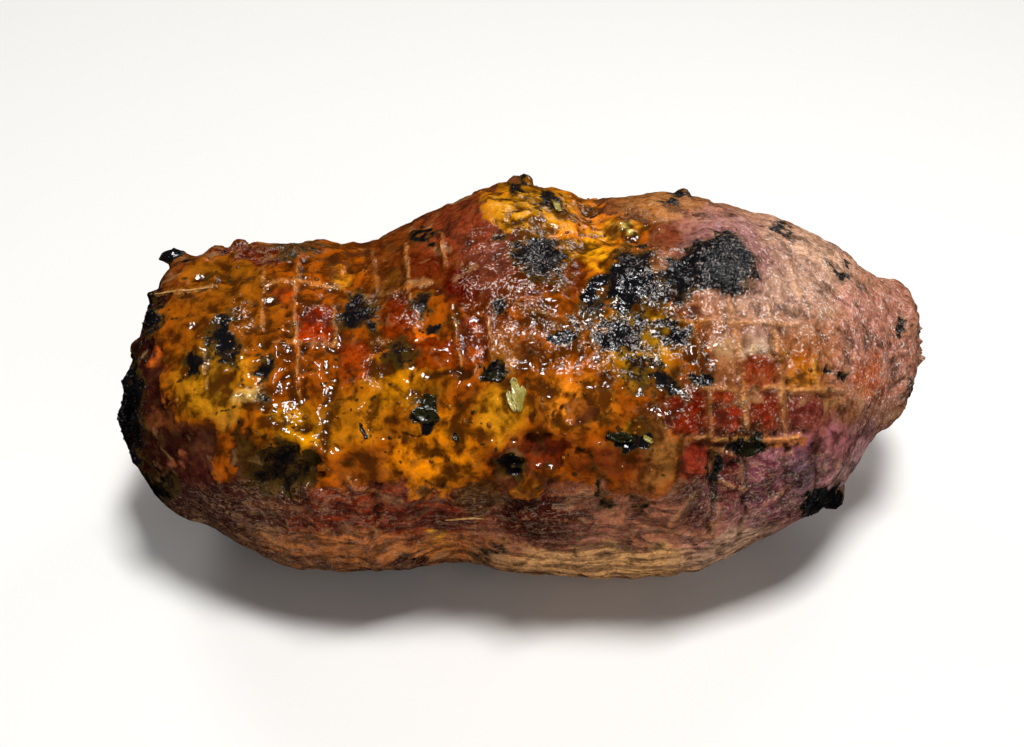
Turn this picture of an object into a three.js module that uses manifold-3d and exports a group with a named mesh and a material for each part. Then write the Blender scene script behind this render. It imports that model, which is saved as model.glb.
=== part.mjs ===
// Roast suckling pig leg: boned, rolled, basted with a thick mustard glaze and roasted in an elastic net
// that was pulled off afterwards, so that the meat keeps the net's squares. It is one piece of food.
//
// Millimetres. +X runs along the roast to its pointed knuckle end, -Y is the front that the glaze runs
// down, +Z is up. The origin is on the surface that it rests on, below the middle of the roast.
//
// The skin is a grid of rings wrapped round a lengthwise axis. How far it stands from that axis is given
// at a few girths in four directions, as a calliper would measure it. The net's marks follow the grid's
// own lines, and bulges, hollows and scraps of crust are placed by their distance along the roast and
// their angle round it: 0 is the front, 90 the top, 180 the back and 270 the underside.
import * as THREE from 'three';
import { ImprovedNoise } from 'three/addons/math/ImprovedNoise.js';
import { ParametricGeometry } from 'three/addons/geometries/ParametricGeometry.js';
import { mergeVertices } from 'three/addons/utils/BufferGeometryUtils.js';
import Module from 'manifold-3d';

const wasm = await Module();
wasm.setup();

// ---- Driving dimensions ----
const BUTT_TIP = -120;
const KNUCKLE_TIP = 124.5;
const AXIS_HEIGHT = 48;
const BUTT_NOSE = 18;        // how far the blunt left end domes out past its last full girth
const KNUCKLE_NOSE = 14;     // the same at the pointed right end
const BUTT_BLUNTNESS = 1.12; // 1 is a cone, 2 a half ellipse
const KNUCKLE_BLUNTNESS = 1.8;
const BEND_START = 60;       // from here to the tip the axis bends
const KNUCKLE_BEND_BACK = 22;
const BUTT_BEND_FRONT = 5;
const BUTT_DROOP = 9;

// Reach of the skin from the axis at each girth.
const GIRTHS = [
  { x: -102, front: 34, top: 38, back: 45, bottom: 27 },
  { x: -84, front: 46, top: 38, back: 48, bottom: 39 },
  { x: -66, front: 55, top: 38, back: 47, bottom: 49 },
  { x: -48, front: 57, top: 37, back: 46, bottom: 50 },
  { x: -24, front: 54, top: 48, back: 58, bottom: 49 },
  { x: 0, front: 57, top: 55, back: 63, bottom: 51 },
  { x: 24, front: 58, top: 52, back: 59, bottom: 52 },
  { x: 48, front: 58, top: 52, back: 61, bottom: 51 },
  { x: 68, front: 50, top: 49, back: 58, bottom: 42 },
  { x: 87, front: 43, top: 41, back: 48, bottom: 36 },
  { x: 99, front: 34, top: 34, back: 39, bottom: 29 },
  { x: 110, front: 23, top: 25, back: 26, bottom: 21 },
];
const SQUARENESS = 2.1;      // 2 is an ellipse, more is boxier

// The net's marks: rings round the roast and strands along it.
const RING_PITCH = 11.2;
const STRANDS = 16;
const MARK_WIDTH = 1.9;
const MARK_DEPTH = 2.1;
const ROWS_IN_PITCH = [0, 0.2, 0.5, 0.8];
const COLUMNS_IN_PITCH = [0, 0.14, 0.5, 0.86];
const NOSE_ROWS = 4;

// The glaze's lower edge: at each distance along, the angle that its drips reach, and its thickness.
const GLAZE_THICKNESS = 1.6;
const GLAZE_EDGE = [
  { x: -110, angle: 22 },
  { x: -78, angle: 20 },
  { x: -62, angle: 6 },
  { x: -30, angle: 4 },
  { x: -14, angle: 12 },
  { x: 4, angle: 6 },
  { x: 16, angle: 12 },
  { x: 42, angle: 4 },
  { x: 60, angle: 24 },
  { x: 110, angle: 34 },
];
const GLAZE_BACK_EDGE = 165;

// Uneven flesh: wavelength and height of each layer of lumps.
const LUMPS = [
  { size: 34, height: 2.2 },
  { size: 15, height: 1.7 },
  { size: 8, height: 1.1 },
];

// Bulges (height above 0) and hollows: half-lengths along and around, in millimetres.
const SWELLS = [
  { what: 'charred blister', x: 61, angle: 80, along: 9, around: 8, height: 3.5 },
  { what: 'dark swelling beside it', x: 40, angle: 69, along: 8, around: 9, height: 2.5 },
  { what: 'pool in the seam', x: 34, angle: 92, along: 12, around: 5, height: -4 },
  { what: 'seam behind the hump', x: 21, angle: 108, along: 6, around: 12, height: -3.5 },
  { what: 'seam in front of the hump', x: 16, angle: 78, along: 5, around: 9, height: -2 },
  { what: 'hump', x: -6, angle: 100, along: 14, around: 12, height: 1.5 },
  { what: 'crumbly rim of the butt end', x: -75, angle: 112, along: 17, around: 4, height: 2.5 },
  { what: 'hollow inside the rim', x: -84, angle: 92, along: 9, around: 6, height: -2 },
  { what: 'hollow under the glaze lip', x: -69, angle: 3, along: 10, around: 8, height: -4.5 },
  { what: 'waist, upper part', x: -5, angle: 6, along: 4.5, around: 8, height: -4.5 },
  { what: 'waist, lower part', x: -17, angle: -30, along: 8, around: 13, height: -4.5 },
  { what: 'belly below the glaze', x: -38, angle: -14, along: 14, around: 9, height: 2 },
  { what: 'thick glaze on the front', x: -32, angle: 14, along: 18, around: 9, height: 1.8 },
  { what: 'dip right of the thick glaze', x: 10, angle: 20, along: 6, around: 9, height: -2 },
  { what: 'fold before the knuckle', x: 50, angle: 8, along: 4, around: 13, height: -2 },
  { what: 'burnt edge of the butt end', x: -108, angle: 40, along: 5, around: 12, height: 2.5 },
  { what: 'dent in the butt end', x: -111, angle: 75, along: 6, around: 8, height: -3 },
  { what: 'flank on the far side', x: -30, angle: 172, along: 24, around: 16, height: 2 },
  { what: 'seam on the far side', x: 12, angle: 190, along: 50, around: 4, height: -3 },
  { what: 'hollow on the far side', x: 62, angle: 165, along: 12, around: 9, height: -2.5 },
];

// Scraps of crust, char and herb that stand out, fused to the skin: half-sizes along, around and up.
const SCRAPS = [
  { what: 'charred drip', x: 95, angle: -51, size: [4.8, 4.4, 6.5], lift: 2.2 },
  { what: 'horn', x: -102, angle: 127, size: [5.5, 2.2, 2.6], lift: 0.6, turn: 12 },
  { what: 'skin tag', x: -108, angle: 78, size: [5.5, 1.8, 2], lift: 0.8 },
  { what: 'crumb on the rim', x: -82, angle: 124, size: [3.4, 3, 3.6], lift: 1.6 },
  { what: 'crumb beside it', x: -89, angle: 122, size: [3.4, 2.8, 2.8], lift: 0.6 },
  { what: 'hump nub', x: 0.5, angle: 126, size: [4.2, 3.4, 3], lift: 0.6 },
  { what: 'ridge nub', x: 49, angle: 122, size: [4.4, 3, 3], lift: 0.6 },
  { what: 'knuckle nub', x: 116, angle: 66, size: [4.4, 4.4, 3], lift: 0.2 },
  { what: 'knuckle flake', x: 120, angle: 25, size: [3, 2.4, 2.6], lift: 0.2 },
  { what: 'hanging glaze drop', x: 3, angle: 4, size: [4.6, 3.4, 3.2], lift: 0.4 },
  { what: 'butt nodule, upper', x: -108, angle: 55, size: [4.4, 4.6, 3], lift: 0 },
  { what: 'butt nodule, lower', x: -107, angle: 8, size: [4.4, 5, 3], lift: 0 },
  { what: 'herb leaf, front', x: -27, angle: 31, size: [4.8, 4.8, 1.8], lift: 0 },
  { what: 'herb leaf, right', x: 31, angle: 22, size: [4.2, 2.8, 1.7], lift: 0 },
  { what: 'herb leaf, knuckle', x: 70, angle: 14, size: [5.4, 3, 1.9], lift: 0.1, turn: -12 },
  { what: 'leek scrap', x: 0.5, angle: 34, size: [2.6, 5, 2], lift: 0.2, turn: 15 },
];
const SCRAP_ROUGHNESS = 0.44;
const SCRAP_GRAIN = 2.6;
const BIG_SCRAP = 4.7;       // above this half-size, a scrap has more faces

const RAD = Math.PI / 180;
const noise = new ImprovedNoise();
const grain = (p, size, seed = 0) => noise.noise(p.x / size + seed, p.y / size, p.z / size);
const clamp01 = (t) => THREE.MathUtils.clamp(t, 0, 1);
const FULL_GIRTH = { from: BUTT_TIP + BUTT_NOSE, to: KNUCKLE_TIP - KNUCKLE_NOSE };

// The smooth curve through the values that a list of places gives at each x.
function curveThrough(list, keys) {
  const curve = new THREE.CubicInterpolant(
    list.map((item) => item.x),
    list.flatMap((item) => keys.map((key) => item[key])),
    keys.length,
  );
  const [first, last] = [list[0].x, list[list.length - 1].x];
  return (x) => Array.from(curve.evaluate(THREE.MathUtils.clamp(x, first, last)));
}
const reachesAt = curveThrough(GIRTHS, ['front', 'top', 'back', 'bottom']);
const glazeEdgeAt = curveThrough(GLAZE_EDGE, ['angle']);

// The axis that the girths are measured from, at a distance along the roast.
function axisAt(x) {
  const toKnuckle = clamp01((x - BEND_START) / (KNUCKLE_TIP - BEND_START)) ** 2;
  const toButt = clamp01((x + BEND_START) / (BUTT_TIP + BEND_START)) ** 2;
  return new THREE.Vector3(
    x,
    KNUCKLE_BEND_BACK * toKnuckle - BUTT_BEND_FRONT * toButt,
    AXIS_HEIGHT - BUTT_DROOP * toButt,
  );
}

// Reach of the smooth skin, without relief, at a distance along and an angle in radians.
function reachAt(x, angle) {
  const [front, top, back, bottom] = reachesAt(x);
  const [c, s] = [Math.cos(angle), Math.sin(angle)];
  const level = Math.abs(c) / (c > 0 ? front : back);
  const upright = Math.abs(s) / (s > 0 ? top : bottom);
  return (level ** SQUARENESS + upright ** SQUARENESS) ** (-1 / SQUARENESS);
}

// The difference between two angles in degrees, from -180 to 180.
const turnBetween = (a, b) => THREE.MathUtils.euclideanModulo(a - b + 180, 360) - 180;

function swellHeight(x, angle, reach) {
  return SWELLS.reduce((sum, swell) => {
    const along = (x - swell.x) / swell.along;
    const around = (turnBetween(angle / RAD, swell.angle) * RAD * reach) / swell.around;
    return sum + swell.height * Math.exp(-(along ** 2) - around ** 2);
  }, 0);
}

// From 0 on bare meat to 1 under the glaze, with a short step between them.
function glazeCover(x, angle) {
  const degrees = turnBetween(angle / RAD, 0);
  const [edge] = glazeEdgeAt(x);
  const scallop = 3 * Math.sin(x / 3.7) + 2 * Math.sin(x / 1.9 + 1);
  const front = THREE.MathUtils.smoothstep(degrees, edge + scallop - 1.5, edge + scallop + 1.5);
  const back = 1 - THREE.MathUtils.smoothstep(degrees, GLAZE_BACK_EDGE - 10, GLAZE_BACK_EDGE);
  const knuckle = 1 - THREE.MathUtils.smoothstep(x, 50, 75);
  return front * back * knuckle;
}

// How strongly the net shows: pressed in most on the knuckle half, filled by glaze on the front left.
function netStrength(x, angle, nose) {
  const towardKnuckle = THREE.MathUtils.smoothstep(x, 20, 60);
  const filled = Math.exp(-(((x + 45) / 40) ** 2) - ((turnBetween(angle / RAD, 18) / 20) ** 2));
  return (0.62 + 0.38 * towardKnuckle) * (1 - 0.6 * filled) * nose ** 2;
}

// Where the net's lines run: the rings and the strands wander a little.
const ringPlace = (phase, angle) =>
  phase + 0.12 * Math.sin(2 * angle + 0.9 * phase) + 0.07 * Math.sin(5 * angle - 1.7 * phase);
function strandPlace(x, angle) {
  const wander = 0.11 * Math.sin(x / 17 + 5 * angle) + 0.07 * Math.sin(x / 8 - 3 * angle);
  return angle + ((2 * Math.PI) / STRANDS) * wander;
}

// 0 on a net line, 1 well away from it. offset is the distance in pitches from the line before.
const pillow = (offset, pitch) => {
  const away = Math.min(offset, 1 - offset) * pitch;
  return 1 - Math.exp(-((away / MARK_WIDTH) ** 2));
};

// Each row of the grid is a ring round the roast, from the butt's tip to the knuckle's. nose is the share
// of the full girth that the end's dome leaves there, and phase the ring's place in the net.
function gridRows() {
  const noseRows = (bluntness, full, tip) =>
    Array.from({ length: NOSE_ROWS + 1 }, (_, i) => {
      const turn = (i / NOSE_ROWS) * (Math.PI / 2);
      const x = THREE.MathUtils.lerp(full, tip, Math.cos(turn) ** (2 / bluntness));
      return { nose: Math.sin(turn) ** (2 / bluntness), x, offset: 0.5 };
    });
  const rings = Math.floor((FULL_GIRTH.to - FULL_GIRTH.from) / RING_PITCH - 0.5); // room for their wander
  const firstRing = (FULL_GIRTH.to + FULL_GIRTH.from - rings * RING_PITCH) / 2;
  const body = Array.from({ length: rings }, (_, ring) =>
    ROWS_IN_PITCH.map((offset) => ({ nose: 1, phase: ring + offset, firstRing, offset })),
  ).flat();
  return [
    ...noseRows(BUTT_BLUNTNESS, FULL_GIRTH.from, BUTT_TIP),
    ...body,
    { nose: 1, phase: rings, firstRing, offset: 0 },
    ...noseRows(KNUCKLE_BLUNTNESS, FULL_GIRTH.to, KNUCKLE_TIP).reverse(),
  ];
}

// The skin at a distance along and an angle in radians, where the nose leaves that share of the girth.
// squares is 0 on a net line and 1 between the lines.
function skinAt(x, angle, nose, squares = 0.6) {
  const reach = reachAt(x, angle) * nose;
  const out = new THREE.Vector3(0, -Math.cos(angle), Math.sin(angle));
  const bare = axisAt(x).addScaledVector(out, reach);
  const lumps = LUMPS.reduce((sum, { size, height }, i) => sum + height * grain(bare, size, 7.3 * i), 0);
  const relief =
    lumps +
    swellHeight(x, angle, reach) +
    GLAZE_THICKNESS * glazeCover(x, angle) +
    MARK_DEPTH * netStrength(x, angle, nose) * (squares - 0.6);
  const fade = Math.min(1, nose * 1.5);
  const point = bare.addScaledVector(out, relief * fade);
  point.x += (1 - nose ** 2) * 2.4 * grain(bare, 13, 31);
  return { point, out };
}

// One point of the grid, in the roast's frame.
function gridPoint(row, column) {
  const strand = Math.floor(column / COLUMNS_IN_PITCH.length);
  const offset = COLUMNS_IN_PITCH[column % COLUMNS_IN_PITCH.length];
  const evenAngle = ((strand + offset) / STRANDS) * 2 * Math.PI;
  const onBody = row.phase !== undefined;
  const x = onBody ? row.firstRing + RING_PITCH * ringPlace(row.phase, evenAngle) : row.x;
  const angle = strandPlace(onBody ? x : 0, evenAngle);
  const strandPitch = (reachAt(x, angle) * row.nose * 2 * Math.PI) / STRANDS;
  const squares = Math.min(pillow(row.offset, RING_PITCH), pillow(offset, strandPitch));
  return skinAt(x, angle, row.nose, squares).point;
}

function skinGeometry() {
  const rows = gridRows();
  const columns = STRANDS * COLUMNS_IN_PITCH.length;
  const last = rows.length - 1;
  return new ParametricGeometry(
    (u, v, target) => {
      const row = rows[Math.round(v * last)];
      const column = Math.round((1 - u) * columns) % columns; // this way round, the faces point out
      if (row.nose === 0) target.copy(axisAt(row.x));
      else target.copy(gridPoint(row, column));
    },
    columns,
    last,
  );
}

// A scrap: a rough pebble, flattened, and laid on the skin where a line toward the axis meets it.
function scrapGeometry(skin, { x, angle, size, lift, turn = 0 }) {
  const out = new THREE.Vector3(0, -Math.cos(angle * RAD), Math.sin(angle * RAD));
  const far = axisAt(x).addScaledVector(out, KNUCKLE_TIP);
  const [seat] = new THREE.Raycaster(far, out.negate()).intersectObject(skin);
  const up = seat.face.normal;
  const around = new THREE.Vector3().crossVectors(up, new THREE.Vector3(1, 0, 0)).normalize();
  const along = new THREE.Vector3().crossVectors(around, up);
  const place = new THREE.Matrix4()
    .makeBasis(along, around, up)
    .multiply(new THREE.Matrix4().makeRotationZ(turn * RAD))
    .multiply(new THREE.Matrix4().makeScale(...size))
    .setPosition(seat.point.addScaledVector(up, lift));
  const big = Math.max(...size) > BIG_SCRAP;
  const pebble = big ? new THREE.IcosahedronGeometry(1, 1) : new THREE.OctahedronGeometry(1, 1);
  const points = pebble.getAttribute('position');
  const p = new THREE.Vector3();
  for (let i = 0; i < points.count; i++) {
    p.fromBufferAttribute(points, i);
    const rough = noise.noise(p.x * SCRAP_GRAIN + x, p.y * SCRAP_GRAIN, p.z * SCRAP_GRAIN);
    p.multiplyScalar(1 + SCRAP_ROUGHNESS * rough).applyMatrix4(place);
    points.setXYZ(i, p.x, p.y, p.z);
  }
  return pebble;
}

function solidOf(geometry) {
  const bare = new THREE.BufferGeometry().setAttribute('position', geometry.getAttribute('position'));
  if (geometry.index) bare.setIndex(geometry.index);
  const merged = mergeVertices(bare, 1e-3);
  return new wasm.Manifold(
    new wasm.Mesh({
      numProp: 3,
      vertProperties: merged.getAttribute('position').array,
      triVerts: new Uint32Array(merged.index.array),
    }),
  );
}

function geometryOf(solid) {
  const { vertProperties, triVerts } = solid.getMesh();
  const geometry = new THREE.BufferGeometry();
  geometry.setAttribute('position', new THREE.BufferAttribute(new Float32Array(vertProperties), 3));
  geometry.setIndex(new THREE.BufferAttribute(new Uint32Array(triVerts), 1));
  geometry.computeVertexNormals();
  return geometry;
}

// Everything below the surface that the roast has settled on.
function restSlab() {
  const [side, thickness] = [4 * KNUCKLE_TIP, 40];
  return solidOf(new THREE.BoxGeometry(side, side, thickness).translate(0, 0, -thickness / 2));
}

function roastGeometry() {
  const skin = new THREE.Mesh(skinGeometry());
  const scraps = SCRAPS.map((scrap) => solidOf(scrapGeometry(skin, scrap)));
  const whole = scraps.reduce((sum, scrap) => sum.add(scrap), solidOf(skin.geometry));
  return geometryOf(whole.subtract(restSlab()));
}

const crust = new THREE.MeshStandardMaterial({ color: 0x8f5222, roughness: 0.45, metalness: 0 });
const roast = new THREE.Mesh(roastGeometry(), crust);
roast.name = 'roast_leg';

// The roast is centred over the origin.
roast.geometry.computeBoundingBox();
const middle = roast.geometry.boundingBox.getCenter(new THREE.Vector3());
roast.position.set(-middle.x, -middle.y, 0);

const part = new THREE.Group();
part.add(roast);
export default part;
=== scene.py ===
"""Looks of a roast suckling pig leg: boned and rolled, basted with a mustard glaze and roasted in a net.

Everything is in metres in the frame of the solid, apart from the surface work, which thinks in
millimetres. The crust is painted where the photograph shows each patch: a patch is placed by its pixel in
the photograph, and falls on whatever part of the roast lies behind that pixel.
"""

import logging
import math
from dataclasses import dataclass, field
from enum import Enum

import bmesh
import bpy
import numpy as np
from mathutils import Matrix, Quaternion, Vector
from mathutils.bvhtree import BVHTree


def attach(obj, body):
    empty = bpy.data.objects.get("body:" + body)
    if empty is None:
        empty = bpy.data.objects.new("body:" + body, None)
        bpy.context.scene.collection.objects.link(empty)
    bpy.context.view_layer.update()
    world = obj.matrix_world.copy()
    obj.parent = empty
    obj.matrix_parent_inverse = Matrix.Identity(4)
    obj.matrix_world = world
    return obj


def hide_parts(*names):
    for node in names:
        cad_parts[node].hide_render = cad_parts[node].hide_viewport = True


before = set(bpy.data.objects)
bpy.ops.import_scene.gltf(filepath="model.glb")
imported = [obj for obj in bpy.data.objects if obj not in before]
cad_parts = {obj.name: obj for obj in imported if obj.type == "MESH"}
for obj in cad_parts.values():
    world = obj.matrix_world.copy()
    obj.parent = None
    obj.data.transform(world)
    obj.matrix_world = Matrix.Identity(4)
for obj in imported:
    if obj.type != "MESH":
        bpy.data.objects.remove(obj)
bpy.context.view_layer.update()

MM = 0.001
log = logging.getLogger("roast")


def linear(hex_colour: str) -> tuple[float, float, float, float]:
    """Turns an sRGB hex colour to linear light.

    Args:
        hex_colour: "#rrggbb".

    Returns:
        Red, green, blue and an alpha of 1.
    """
    parts = [int(hex_colour[i : i + 2], 16) / 255 for i in (1, 3, 5)]
    return (*(c / 12.92 if c <= 0.04045 else ((c + 0.055) / 1.055) ** 2.4 for c in parts), 1.0)


def smoothstep(low: float, high: float, values: np.ndarray) -> np.ndarray:
    """0 before low, 1 after high, and a smooth step between them, which may run downwards.

    Args:
        low: Where the step starts.
        high: Where it ends.
        values: What is compared with them.

    Returns:
        The step at each value.
    """
    t = np.clip((values - low) / (high - low), 0.0, 1.0)
    return t * t * (3.0 - 2.0 * t)


class Grain:
    """Smooth random relief in space, the same at each run."""

    def __init__(self, seed: int) -> None:
        """Draws the slopes at the corners of the noise's cells.

        Args:
            seed: Number that the draws start from.
        """
        draw = np.random.default_rng(seed)
        self.order = draw.permutation(256)
        slopes = draw.normal(size=(256, 3))
        self.slopes = slopes / np.linalg.norm(slopes, axis=1, keepdims=True)

    def _corner(self, cell: np.ndarray) -> np.ndarray:
        """Numbers each cell's corner from 0 to 255, without a pattern."""
        key = cell & 255
        mixed = (self.order[key[:, 0]] + key[:, 1]) & 255
        return self.order[(self.order[mixed] + key[:, 2]) & 255]

    def at(self, points: np.ndarray, size: float | tuple[float, float, float]) -> np.ndarray:
        """Gradient noise.

        Args:
            points: Places, in mm.
            size: Width of a bump, in mm, or one for each axis.

        Returns:
            A height from about -1 to 1 at each point.
        """
        scaled = points / np.asarray(size, dtype=float)
        cell = np.floor(scaled).astype(int)
        part = scaled - cell
        fade = part**3 * (part * (part * 6 - 15) + 10)
        total = np.zeros(len(points))
        for corner in np.ndindex(2, 2, 2):
            step = np.array(corner)
            weight = np.prod(np.where(step == 1, fade, 1 - fade), axis=1)
            slope = self.slopes[self._corner(cell + step)]
            total += weight * np.einsum("ij,ij->i", slope, part - step)
        return total * 1.7

    def layered(self, points: np.ndarray, size: float, layers: int) -> np.ndarray:
        """Sum of ever finer and lower layers of noise.

        Args:
            points: Places, in mm.
            size: Width of the widest bumps, in mm.
            layers: How many layers.

        Returns:
            A height from about -1.5 to 1.5 at each point.
        """
        return sum(self.at(points + 37.0 * i, size / 2.1**i) * 0.55**i for i in range(layers))

    def pebbles(self, points: np.ndarray, size: float) -> np.ndarray:
        """Rounded grains with narrow gaps between them.

        Args:
            points: Places, in mm.
            size: Distance between grains, in mm.

        Returns:
            1 at the middle of a grain, falling to about 0 in the gaps.
        """
        scaled = points / size
        cell = np.floor(scaled).astype(int)
        nearest = np.full(len(points), 9.0)
        for offset in np.ndindex(3, 3, 3):
            other = cell + np.array(offset) - 1
            jitter = self.slopes[self._corner(other)] * 0.5 + 0.5
            nearest = np.minimum(nearest, np.sum((other + jitter - scaled) ** 2, axis=1))
        return 1.0 - np.clip(nearest * 1.4, 0.0, 1.0)


@dataclass(frozen=True)
class PhotoView:
    """The photograph's camera, which looks along +Y and down at the roast."""

    width: int = 1024
    height: int = 747
    lens: float = 50.0
    sensor: float = 36.0
    elevation: float = 38.0
    mm_per_pixel: float = 0.30
    axis_pixel: tuple[float, float] = (515.0, 385.0)
    axis_point: tuple[float, float, float] = (-2.8, 0.0, 48.0)

    @property
    def distance(self) -> float:
        """Distance in mm at which a pixel covers mm_per_pixel."""
        return self.lens / self.sensor * self.width * self.mm_per_pixel

    def axes(self) -> np.ndarray:
        """Right, up and towards the viewer, as unit rows."""
        e = math.radians(self.elevation)
        return np.array([[1, 0, 0], [0, math.sin(e), math.cos(e)], [0, -math.cos(e), math.sin(e)]])

    def eye(self) -> np.ndarray:
        """The camera's place, in mm."""
        right, up, back = self.axes()
        aside = (self.axis_pixel[0] - self.width / 2) * self.mm_per_pixel
        below = (self.axis_pixel[1] - self.height / 2) * self.mm_per_pixel
        return np.array(self.axis_point) - right * aside + up * below + back * self.distance

    def pixels_of(self, points: np.ndarray) -> np.ndarray:
        """Where points show in the photograph.

        Args:
            points: Places, in mm.

        Returns:
            A pixel for each point, counted from the top left corner.
        """
        right, up, back = self.axes()
        offset = points - self.eye()
        scale = self.lens / self.sensor * self.width / -(offset @ back)
        across, down = offset @ right * scale, -(offset @ up) * scale
        return np.stack([self.width / 2 + across, self.height / 2 + down], axis=1)

    def line_of_sight(self, pixel: tuple[float, float]) -> tuple[Vector, Vector]:
        """The line through a pixel.

        Args:
            pixel: Pixel of the photograph.

        Returns:
            The eye and the unit direction, in metres.
        """
        right, up, back = self.axes()
        scale = self.lens / self.sensor * self.width
        across, down = (pixel[0] - self.width / 2) / scale, (pixel[1] - self.height / 2) / scale
        return Vector(self.eye() * MM), Vector(right * across - up * down - back).normalized()

    def place_camera(self) -> bpy.types.Object:
        """Makes this camera the scene's.

        Returns:
            The camera object.
        """
        data = bpy.data.cameras.new("photo_camera")
        data.lens, data.sensor_width, data.sensor_fit = self.lens, self.sensor, "HORIZONTAL"
        data.clip_start, data.clip_end = 0.01, 20.0
        camera = bpy.data.objects.new("photo_camera", data)
        camera.location = self.eye() * MM
        camera.rotation_euler = (math.radians(90 - self.elevation), 0, 0)
        bpy.context.scene.collection.objects.link(camera)
        bpy.context.scene.camera = camera
        return camera


@dataclass(frozen=True)
class NetLayout:
    """The net that the solid was modelled with, and the axis that it is wrapped round, in mm."""

    centring: tuple[float, float] = (-2.25, -0.804)
    tips: tuple[float, float] = (-120.0, 124.5)
    noses: tuple[float, float] = (18.0, 14.0)
    axis_height: float = 48.0
    bend_start: float = 60.0
    knuckle_back: float = 22.0
    butt_front: float = 5.0
    butt_droop: float = 9.0
    ring_pitch: float = 11.2
    strands: int = 16
    strand_pitch: float = 21.0

    @property
    def first_ring(self) -> float:
        """Distance along of the ring nearest the butt."""
        start, end = self.tips[0] + self.noses[0], self.tips[1] - self.noses[1]
        rings = math.floor((end - start) / self.ring_pitch - 0.5)
        return (start + end - rings * self.ring_pitch) / 2

    def along_and_around(self, points: np.ndarray) -> tuple[np.ndarray, np.ndarray]:
        """Distance along the roast, and the angle round its axis.

        Args:
            points: Places, in mm.

        Returns:
            The distance in mm, and the angle in radians: 0 at the front, and a quarter turn at the top.
        """
        x = points[:, 0] - self.centring[0]
        y = points[:, 1] - self.centring[1]
        to_knuckle = np.clip((x - self.bend_start) / (self.tips[1] - self.bend_start), 0, 1) ** 2
        to_butt = np.clip((x + self.bend_start) / (self.tips[0] + self.bend_start), 0, 1) ** 2
        axis_y = self.knuckle_back * to_knuckle - self.butt_front * to_butt
        axis_z = self.axis_height - self.butt_droop * to_butt
        return x, np.arctan2(points[:, 2] - axis_z, axis_y - y)

    def phases(self, points: np.ndarray) -> tuple[np.ndarray, np.ndarray]:
        """Where each point lies between the net's lines.

        Args:
            points: Places, in mm.

        Returns:
            A count of rings from the butt, and of strands from the front: whole numbers lie on a line.
        """
        x, angle = self.along_and_around(points)
        even = angle
        for _ in range(6):
            wander = 0.11 * np.sin(x / 17 + 5 * even) + 0.07 * np.sin(x / 8 - 3 * even)
            even = angle - 2 * math.pi / self.strands * wander
        place = (x - self.first_ring) / self.ring_pitch
        ring = place
        for _ in range(6):
            ring = place - 0.12 * np.sin(2 * even + 0.9 * ring) - 0.07 * np.sin(5 * even - 1.7 * ring)
        return ring, even * self.strands / (2 * math.pi)

    def from_line(self, points: np.ndarray) -> np.ndarray:
        """Distance from the nearest line of the net.

        Args:
            points: Places, in mm.

        Returns:
            The distance in mm.
        """
        ring, strand = self.phases(points)
        across = np.abs(ring - np.round(ring)) * self.ring_pitch
        around = np.abs(strand - np.round(strand)) * self.strand_pitch
        return np.minimum(across, around)

    def off_lines(self, points: np.ndarray) -> np.ndarray:
        """How far each point is from the nearest line of the net.

        Args:
            points: Places, in mm.

        Returns:
            0 on a line and 1 at the middle of a square.
        """
        ring, strand = self.phases(points)
        return np.minimum(np.abs(np.sin(math.pi * ring)), np.abs(np.sin(math.pi * strand)))


@dataclass(frozen=True)
class Patch:
    """A patch of the crust: what it is, the pixel at its middle, and its half-sizes in pixels."""

    what: str
    at: tuple[float, float]
    half: tuple[float, float]
    tone: str = ""
    amount: float = 1.0
    turn: float = 0.0
    soft: float = 0.4
    power: float = 2.0

    def local(self, pixels: np.ndarray) -> tuple[np.ndarray, np.ndarray]:
        """Where pixels lie in the patch.

        Args:
            pixels: Pixels of the photograph.

        Returns:
            The distance from its middle, 1 at its edge, and the part of that towards its near side.
        """
        c, s = math.cos(math.radians(self.turn)), math.sin(math.radians(self.turn))
        dx, dy = pixels[:, 0] - self.at[0], pixels[:, 1] - self.at[1]
        along, down = (dx * c + dy * s) / self.half[0], (dy * c - dx * s) / self.half[1]
        distance = (np.abs(along) ** self.power + np.abs(down) ** self.power) ** (1 / self.power)
        return distance, down

    def cover(self, pixels: np.ndarray) -> np.ndarray:
        """How much of the patch lies at each pixel.

        Args:
            pixels: Pixels of the photograph.

        Returns:
            From 0 outside it to its amount inside.
        """
        return self.amount * smoothstep(1 + self.soft, 1 - self.soft, self.local(pixels)[0])


@dataclass(frozen=True)
class NetLine:
    """A pale ridge that a cord of the net left, by the pixels that it passes."""

    route: tuple[tuple[float, float], ...]
    amount: float = 1.0

    def distance(self, pixels: np.ndarray) -> np.ndarray:
        """Distance from the line, in pixels.

        Args:
            pixels: Pixels of the photograph.

        Returns:
            The distance at each of them.
        """
        nearest = np.full(len(pixels), 1e3)
        for first, second in zip(self.route, self.route[1:]):
            start, leg = np.array(first), np.subtract(second, first)
            part = np.clip((pixels - start) @ leg / (leg @ leg), 0.0, 1.0)
            nearest = np.minimum(nearest, np.linalg.norm(pixels - start - part[:, None] * leg, axis=1))
        return nearest


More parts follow.
